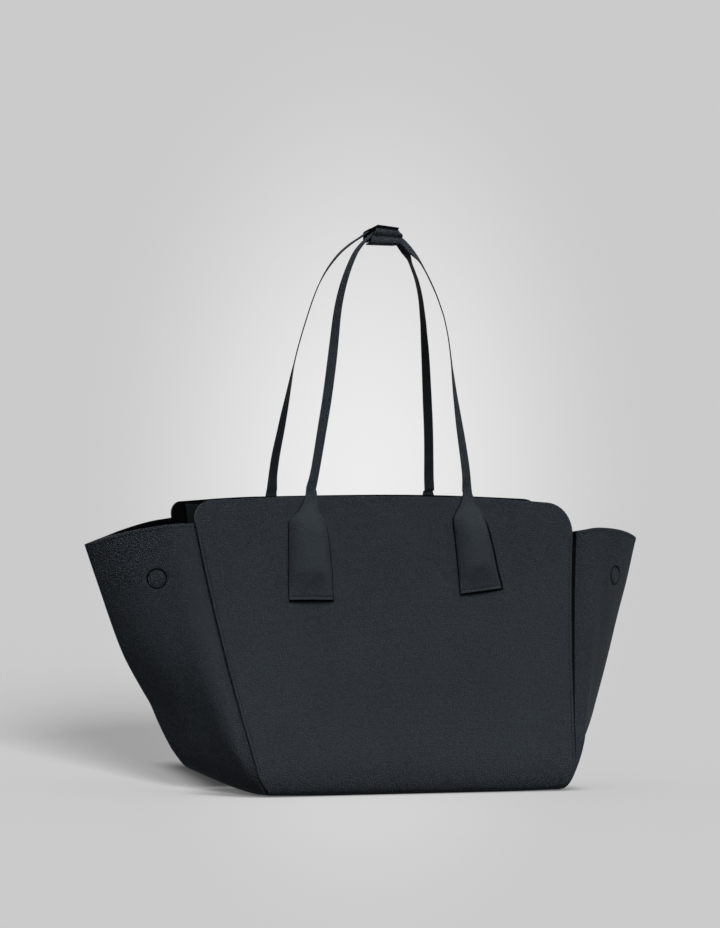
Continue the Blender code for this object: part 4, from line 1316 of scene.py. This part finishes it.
def make_handle(face):
    strap_share = 0.005
    shares = evenly(strap_share, 0.10, 16) + evenly(0.10, 1.90, 190)[1:-1] + evenly(1.90, 2 - strap_share, 16)
    sections = [strap_section(face, share) for share in shares]
    for leg, at_start in ((RIGHT, True), (LEFT, False)):
        low = TAB_DROP[leg] - 0.006
        drops = evenly(TAB_DROP[leg], low, 16) + evenly(low, SHOULDER_DROP, 26)[1:]
        drops += evenly(SHOULDER_DROP, -NECK_RISE, 26)[1:]
        tab = [tab_section(face, leg, drop) for drop in drops]
        sections = tab + sections if at_start else sections + tab[::-1]
    name = FACE_NAMES[face] + "_handle_leather"
    mesh = closed_loft(name, sections)
    handle = new_piece(name, mesh, [STRAP_LEATHER_PAINTED_LIGHTER, EDGE_PAINT_AND_SHADE, *STRAP_BACK_SHADES], None)
    round_cut_edges(handle, 0.0003)
    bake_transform(handle)
    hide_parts(FACE_NAMES[face] + "_handle", named(face, LEFT, "tab"), named(face, RIGHT, "tab"))
    print(name, "faces:", len(mesh.polygons))


for face in (FRONT, BACK):
    make_handle(face)


# %% Painted shadow strips, fillers and stitches of the tabs
SHADOW_STRIP_WIDER = {LEFT: 0.0016, RIGHT: 0.0036}
SHADOW_STRIP_REACH = 0.0011
SHADOW_STRIP_START = 0.006
SHADOW_STRIP_THICKNESS = 0.0006
FILLER_SHARE = 0.86
FILLER_MARGIN = 0.004


def make_tab_shadow_strip(face, leg):
    """A black strip under a tab: painted shade that shows as a dark line along its right side and foot."""
    sections = []
    for drop in evenly(TAB_DROP[leg] + SHADOW_STRIP_REACH, SHADOW_STRIP_START, 30):
        wider = (0.0, SHADOW_STRIP_WIDER[leg] * smooth((drop - SHADOW_STRIP_START) / 0.030))
        places = evenly(-1.0, 1.0, SECTION_STEPS)
        outer = [tab_point(face, leg, place, drop, GAP + SHADOW_STRIP_THICKNESS, wider) for place in places]
        inner = [tab_point(face, leg, place, drop, GAP, wider) for place in places]
        sections.append(outer + inner[::-1])
    name = named(face, leg, "tab_shadow_strip")
    new_piece(name, closed_loft(name, sections), [EDGE_PAINT_AND_SHADE] * 3)


def make_tab_filler(face, leg):
    """The pressed felt that domes a tab."""
    sections = []
    places = evenly(-FILLER_SHARE, FILLER_SHARE, SECTION_STEPS)
    for drop in evenly(TAB_DROP[leg] - FILLER_MARGIN, SHOULDER_DROP + 0.002, 24):
        outer = [tab_point(face, leg, place, drop, tab_seat(leg, place, drop) - GAP) for place in places]
        inner = [tab_point(face, leg, place, drop, 2 * GAP + SHADOW_STRIP_THICKNESS) for place in places]
        sections.append(outer + inner[::-1])
    name = named(face, leg, "tab_felt")
    filler = new_piece(name, closed_loft(name, sections), [FELT] * 3)
    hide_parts(named(face, leg, "tab_filler"))


def stitch_tab_foot(face, leg):
    drop = TAB_DROP[leg] - TAB_STITCH_MARGIN

    def over(share, beside=0.0):
        place = mix(-FILLER_SHARE, FILLER_SHARE, share) + beside
        return tab_point(face, leg, place, drop, tab_seat(leg, place, drop) + TAB_LEATHER)

    def outward(share):
        across = over(share, 0.02) - over(share, -0.02)
        return square_to(across, Vector((0.0, 0.0, 1.0)), Vector((0.0, face, 0.0)))

    stitch_row(named(face, leg, "tab_stitches"), over, outward)


for face in (FRONT, BACK):
    for leg in (LEFT, RIGHT):
        make_tab_shadow_strip(face, leg)
        make_tab_filler(face, leg)
        stitch_tab_foot(face, leg)
print("length of the left and right tabs, m:", TAB_DROP[LEFT], TAB_DROP[RIGHT])

# %% [markdown]
# ## The keeper
#
# A short leather sleeve gathers both handles at their crown. Its flap comes over the front and closes
# underneath, so the upper edge shows a dark gap and the sleeve bulges slightly over the straps.

# %% Keeper
KEEPER_LEFT = ((-0.0100, -0.0192), -0.0120)  # x of the left end, at the front's top and foot and at the back
KEEPER_RIGHT = (  # x by share of depth
    (0.0, 0.0131), (0.25, 0.0133), (0.42, 0.0165), (0.65, 0.0170), (1.0, 0.0125),
)
KEEPER_LEATHER = 0.0015
BAND_LEATHER = 0.0029
KEEPER_BACK_DROOP = 0.0062
KEEPER_TILT = 0.0022
KEEPER_DEPTH = 0.0182
KEEPER_FRONT, KEEPER_BACK = 0.0020, 0.0283
KEEPER_TOP, KEEPER_BOTTOM = 0.0036, -0.0124
KEEPER_UNDER = -0.0158
FLAP_TURN = 0.0135
FLAP_STEPS = 34
FLAP_BULGE = 0.0009
FLAP_BULGES = ((0.22, 0.16, 1), (0.80, 0.17, 1), (0.50, 0.12, -1))  # share down the flap, reach and way


def rounded(profile, radius, steps=5):
    """A profile of (y, z) points with its inner corners replaced by arcs."""
    points = [Vector(point) for point in profile]
    result = [points[0]]
    for before, corner, after in zip(points, points[1:], points[2:]):
        reach = min(radius, (before - corner).length / 2, (after - corner).length / 2)
        start = corner + (before - corner).normalized() * reach
        end = corner + (after - corner).normalized() * reach
        for share in evenly(0.0, 1.0, steps):
            result.append(start.lerp(corner, share).lerp(corner.lerp(end, share), share))
    return result + [points[-1]]


def keeper_rows(profile):
    """The keeper follows its straps: its top hangs lower at the back's ends and leans to the right."""
    rows = []
    for share in evenly(-1.0, 1.0, 24):
        row = []
        for y, z in profile:
            back = min(max((y - KEEPER_FRONT) / (KEEPER_BACK - KEEPER_FRONT), 0.0), 1.0)
            low = min(max((KEEPER_TOP - z) / KEEPER_DEPTH, 0.0), 1.0)
            left = mix(mix(*KEEPER_LEFT[0], low), KEEPER_LEFT[1], back)
            x = mix(left, through(KEEPER_RIGHT, low), (share + 1) / 2)
            droop = (1 - low) * (KEEPER_BACK_DROOP * back * abs(share) ** 1.6 + KEEPER_TILT * (share + 1) / 2)
            row.append(Vector((x, y, HANDLE_TOP_HEIGHT + z - droop)))
        rows.append(row)
    return rows


FLAP_FACE = KEEPER_FRONT - GAP - KEEPER_LEATHER
FLAP_TOP = KEEPER_TOP - BAND_LEATHER - GAP


def flap_point(share):
    """The flap's front bulges over each of the two straps' edges and dips between them."""
    bulge = FLAP_BULGE * sum(way * bell(share - place, reach) for place, reach, way in FLAP_BULGES)
    return FLAP_FACE - bulge, mix(FLAP_TOP, KEEPER_UNDER, share)


keeper_middle = Vector((0.0, (KEEPER_FRONT + KEEPER_BACK) / 2, HANDLE_TOP_HEIGHT - 0.006))
channel = [
    (KEEPER_FRONT, KEEPER_BOTTOM), (KEEPER_BACK, KEEPER_BOTTOM),
    (KEEPER_BACK, KEEPER_TOP), (FLAP_FACE, KEEPER_TOP),
]
keeper_finish = [STRAP_LEATHER_PAINTED_LIGHTER, EDGE_PAINT_AND_SHADE, INNER_SIDE]
band = leather_sheet(
    "keeper_band_leather", keeper_rows(rounded(channel, 0.0022)), BAND_LEATHER, keeper_middle, keeper_finish,
    FINE_EDGE, body="back_strap",
)
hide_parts("keeper_band")

under = (FLAP_FACE + FLAP_TURN, KEEPER_BOTTOM - 2 * GAP - BAND_LEATHER)
turn = rounded([flap_point(0.0), (FLAP_FACE, KEEPER_UNDER), under], 0.0016)
cover = turn[:1] + [flap_point(share) for share in evenly(0.03, 0.90, FLAP_STEPS)] + turn[1:]
flap = leather_sheet(
    "keeper_flap_leather", keeper_rows(cover), KEEPER_LEATHER, keeper_middle, keeper_finish, FINE_EDGE,
    body="keeper_closure",
)
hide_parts("keeper_flap")
print("keeper faces:", len(band.data.polygons) + len(flap.data.polygons))

# %% [markdown]
# ## Pieces that stay as the CAD has them
#
# The board, the patches behind the tabs and the keeper's magnets are rigid or hidden, and their CAD shapes
# are right. They only get their real materials.

# %% Materials of the kept nodes
KEPT = {"board": BOARD, "felt": FELT, "steel": STEEL, "leather": BODY_LEATHER, "lining": LINING}
slots = {part["node"]: part["material_slot"] for part in frame["record"]["subparts"]}
for name, node in frame["nodes"].items():
    for slot in node.material_slots:
        slot.material = KEPT[slots[name]]
print("CAD nodes:", len(frame["nodes"]))

# %% [markdown]
# ## Studio
#
# The bag stands on a pale grey seamless floor. One broad lamp from the right shapes the leather. A low lamp
# falls on the floor only and throws the long soft shadow to the left and back. The backdrop is a soft glow
# behind the bag, which the floor carries on below the horizon. Light that bounces sees a darker floor and a
# plain grey world, so that the bag's underside stays dark.

# %% Backdrop
PAPER = 0.597
GLOW = 0.246
GLOW_CENTRE = (-0.0041, 0.0023)
GLOW_REACH = (0.0600, 0.1000)
FILL = 0.40
VIEWPOINT = AIM_POINT - Vector((math.sin(VIEW_AZIMUTH), math.cos(VIEW_AZIMUTH), 0.0)) * VIEW_DISTANCE


def seen_directly(start):
    """1 for what the camera, a reflection or a clear body sees, and 0 for light that bounces."""
    camera, glossy, clear = (
        start.node("LightPath", output="Is " + kind + " Ray") for kind in ("Camera", "Glossy", "Transmission")
    )
    return camera + glossy + clear


def backdrop_glow(heading):
    """1 in the middle of the glow and 0 outside it, for a heading from the viewpoint."""
    beside = heading.dot((math.cos(VIEW_AZIMUTH), -math.sin(VIEW_AZIMUTH), 0.0))
    above = heading.dot((0.0, 0.0, 1.0))
    wide = (beside - GLOW_CENTRE[0]) / GLOW_REACH[0]
    high = (above - GLOW_CENTRE[1]) / GLOW_REACH[1]
    reach = heading.node("Math", {"operation": "SQRT"}, {0: wide * wide + high * high})
    return 1 - reach.between(0.0, 1.0)


world = bpy.data.worlds.new("studio")
world.use_nodes = True
bpy.context.scene.world = world
start = Wire(world.node_tree)
sky = world.node_tree.nodes["Background"]
backdrop = backdrop_glow(start.node("TexCoord", output="Generated")).tint((PAPER,) * 3, (PAPER + GLOW,) * 3)
shown = seen_directly(start).tint((FILL,) * 3, backdrop)
world.node_tree.links.new(shown.socket, sky.inputs["Color"])
bpy.context.scene.view_settings.view_transform = "Standard"
print("backdrop nodes:", len(world.node_tree.nodes))

# %% Floor
FLOOR_SIZE = 150.0
FLOOR_PAPER = 0.32
FLOOR_BOUNCE = 0.045
FLOOR_GLOW = 0.22
CONTACT_REACH = 0.030
CONTACT_DEPTH = 0.65
CONTACT_EDGE = (0.1, 0.9)
FLOOR_LAMP_AZIMUTH = -18.8
CORE_SIDE = (0.148, 0.190)  # half width of the shadow's dark core, and where it has faded out
CORE_NEAR = (0.0, 0.08)
CORE_FAR = (0.38, 0.55)
CORE_DEPTH = 0.87


def shadow_core(place):
    """1 on the floor just behind the bag: a painted shadow there deepens the lamp's shadow."""
    turn = math.radians(FLOOR_LAMP_AZIMUTH)
    away, beside = (-math.sin(turn), math.cos(turn), 0.0), (math.cos(turn), math.sin(turn), 0.0)
    along, across = place.dot(away), place.dot(beside)
    outside = across.node("Math", {"operation": "ABSOLUTE"}, {0: across}).between(*CORE_SIDE)
    return (1 - outside) * along.between(*CORE_NEAR) * (1 - along.between(*CORE_FAR))


def make_floor():
    builder = bmesh.new()
    bmesh.ops.create_grid(builder, x_segments=8, y_segments=8, size=FLOOR_SIZE)
    mesh = finished("floor", builder, outwards=False, soft=False)
    material, shader, start = new_finish("floor_paper")
    place = start.node("TexCoord", output="Object")
    from_view = start.node("VectorMath", {"operation": "SUBTRACT"}, {0: place, 1: tuple(VIEWPOINT)})
    heading = start.node("VectorMath", {"operation": "NORMALIZE"}, {0: from_view})
    # Painted shade: the floor's colour and glow are darkened by ambient occlusion near the bag and by the
    # painted shadow core behind it.
    clear = start.node("AmbientOcclusion", {"samples": 8}, {"Distance": CONTACT_REACH}, output=1)
    clear = clear.between(*CONTACT_EDGE) * CONTACT_DEPTH + (1 - CONTACT_DEPTH)
    clear = clear * (1 - CORE_DEPTH * shadow_core(place))
    lit = seen_directly(start) * clear
    colour = lit.tint((FLOOR_BOUNCE,) * 3, (FLOOR_PAPER,) * 3)
    glow = lit.tint((0.0,) * 3, backdrop_glow(heading).tint((FLOOR_GLOW,) * 3, (FLOOR_GLOW + GLOW,) * 3))
    for socket, wire in (("Base Color", colour), ("Emission Color", glow)):
        material.node_tree.links.new(wire.socket, shader.inputs[socket])
    shader.inputs["Emission Strength"].default_value = 1.0
    shader.inputs["Roughness"].default_value = 1.0
    shader.inputs["Specular IOR Level"].default_value = 0.0
    mesh.materials.append(material)
    floor = bpy.data.objects.new("floor", mesh)
    floor.location = (0.0, 0.0, -0.0002)
    bpy.context.scene.collection.objects.link(floor)
    return floor


floor = make_floor()
print("floor faces:", len(floor.data.polygons))


# %% Lamps
def aim(azimuth, elevation):
    """Rotation of a lamp that stands at an azimuth from the front, positive to the right."""
    azimuth, elevation = math.radians(azimuth), math.radians(elevation)
    level = math.cos(elevation)
    towards_lamp = Vector((math.sin(azimuth) * level, -math.cos(azimuth) * level, math.sin(elevation)))
    return towards_lamp.to_track_quat("Z", "Y").to_euler()


def make_lamp(name, lit_objects, strength, azimuth, elevation, spread):
    lamp = bpy.data.lights.new(name, "SUN")
    lamp.energy = strength
    lamp.angle = math.radians(spread)
    holder = bpy.data.objects.new(name, lamp)
    holder.rotation_euler = aim(azimuth, elevation)
    bpy.context.scene.collection.objects.link(holder)
    lit = bpy.data.collections.new(name + "_lights")
    for piece in lit_objects:
        lit.objects.link(piece)
    holder.light_linking.receiver_collection = lit


pieces = [item for item in bpy.context.scene.objects if item.type == "MESH" and item != floor]
make_lamp("key", pieces, strength=2.95, azimuth=6.0, elevation=52.0, spread=30.0)
make_lamp("floor_shadow", [floor], strength=16.5, azimuth=FLOOR_LAMP_AZIMUTH, elevation=8.5, spread=9.0)
print("pieces under the key lamp:", len(pieces))
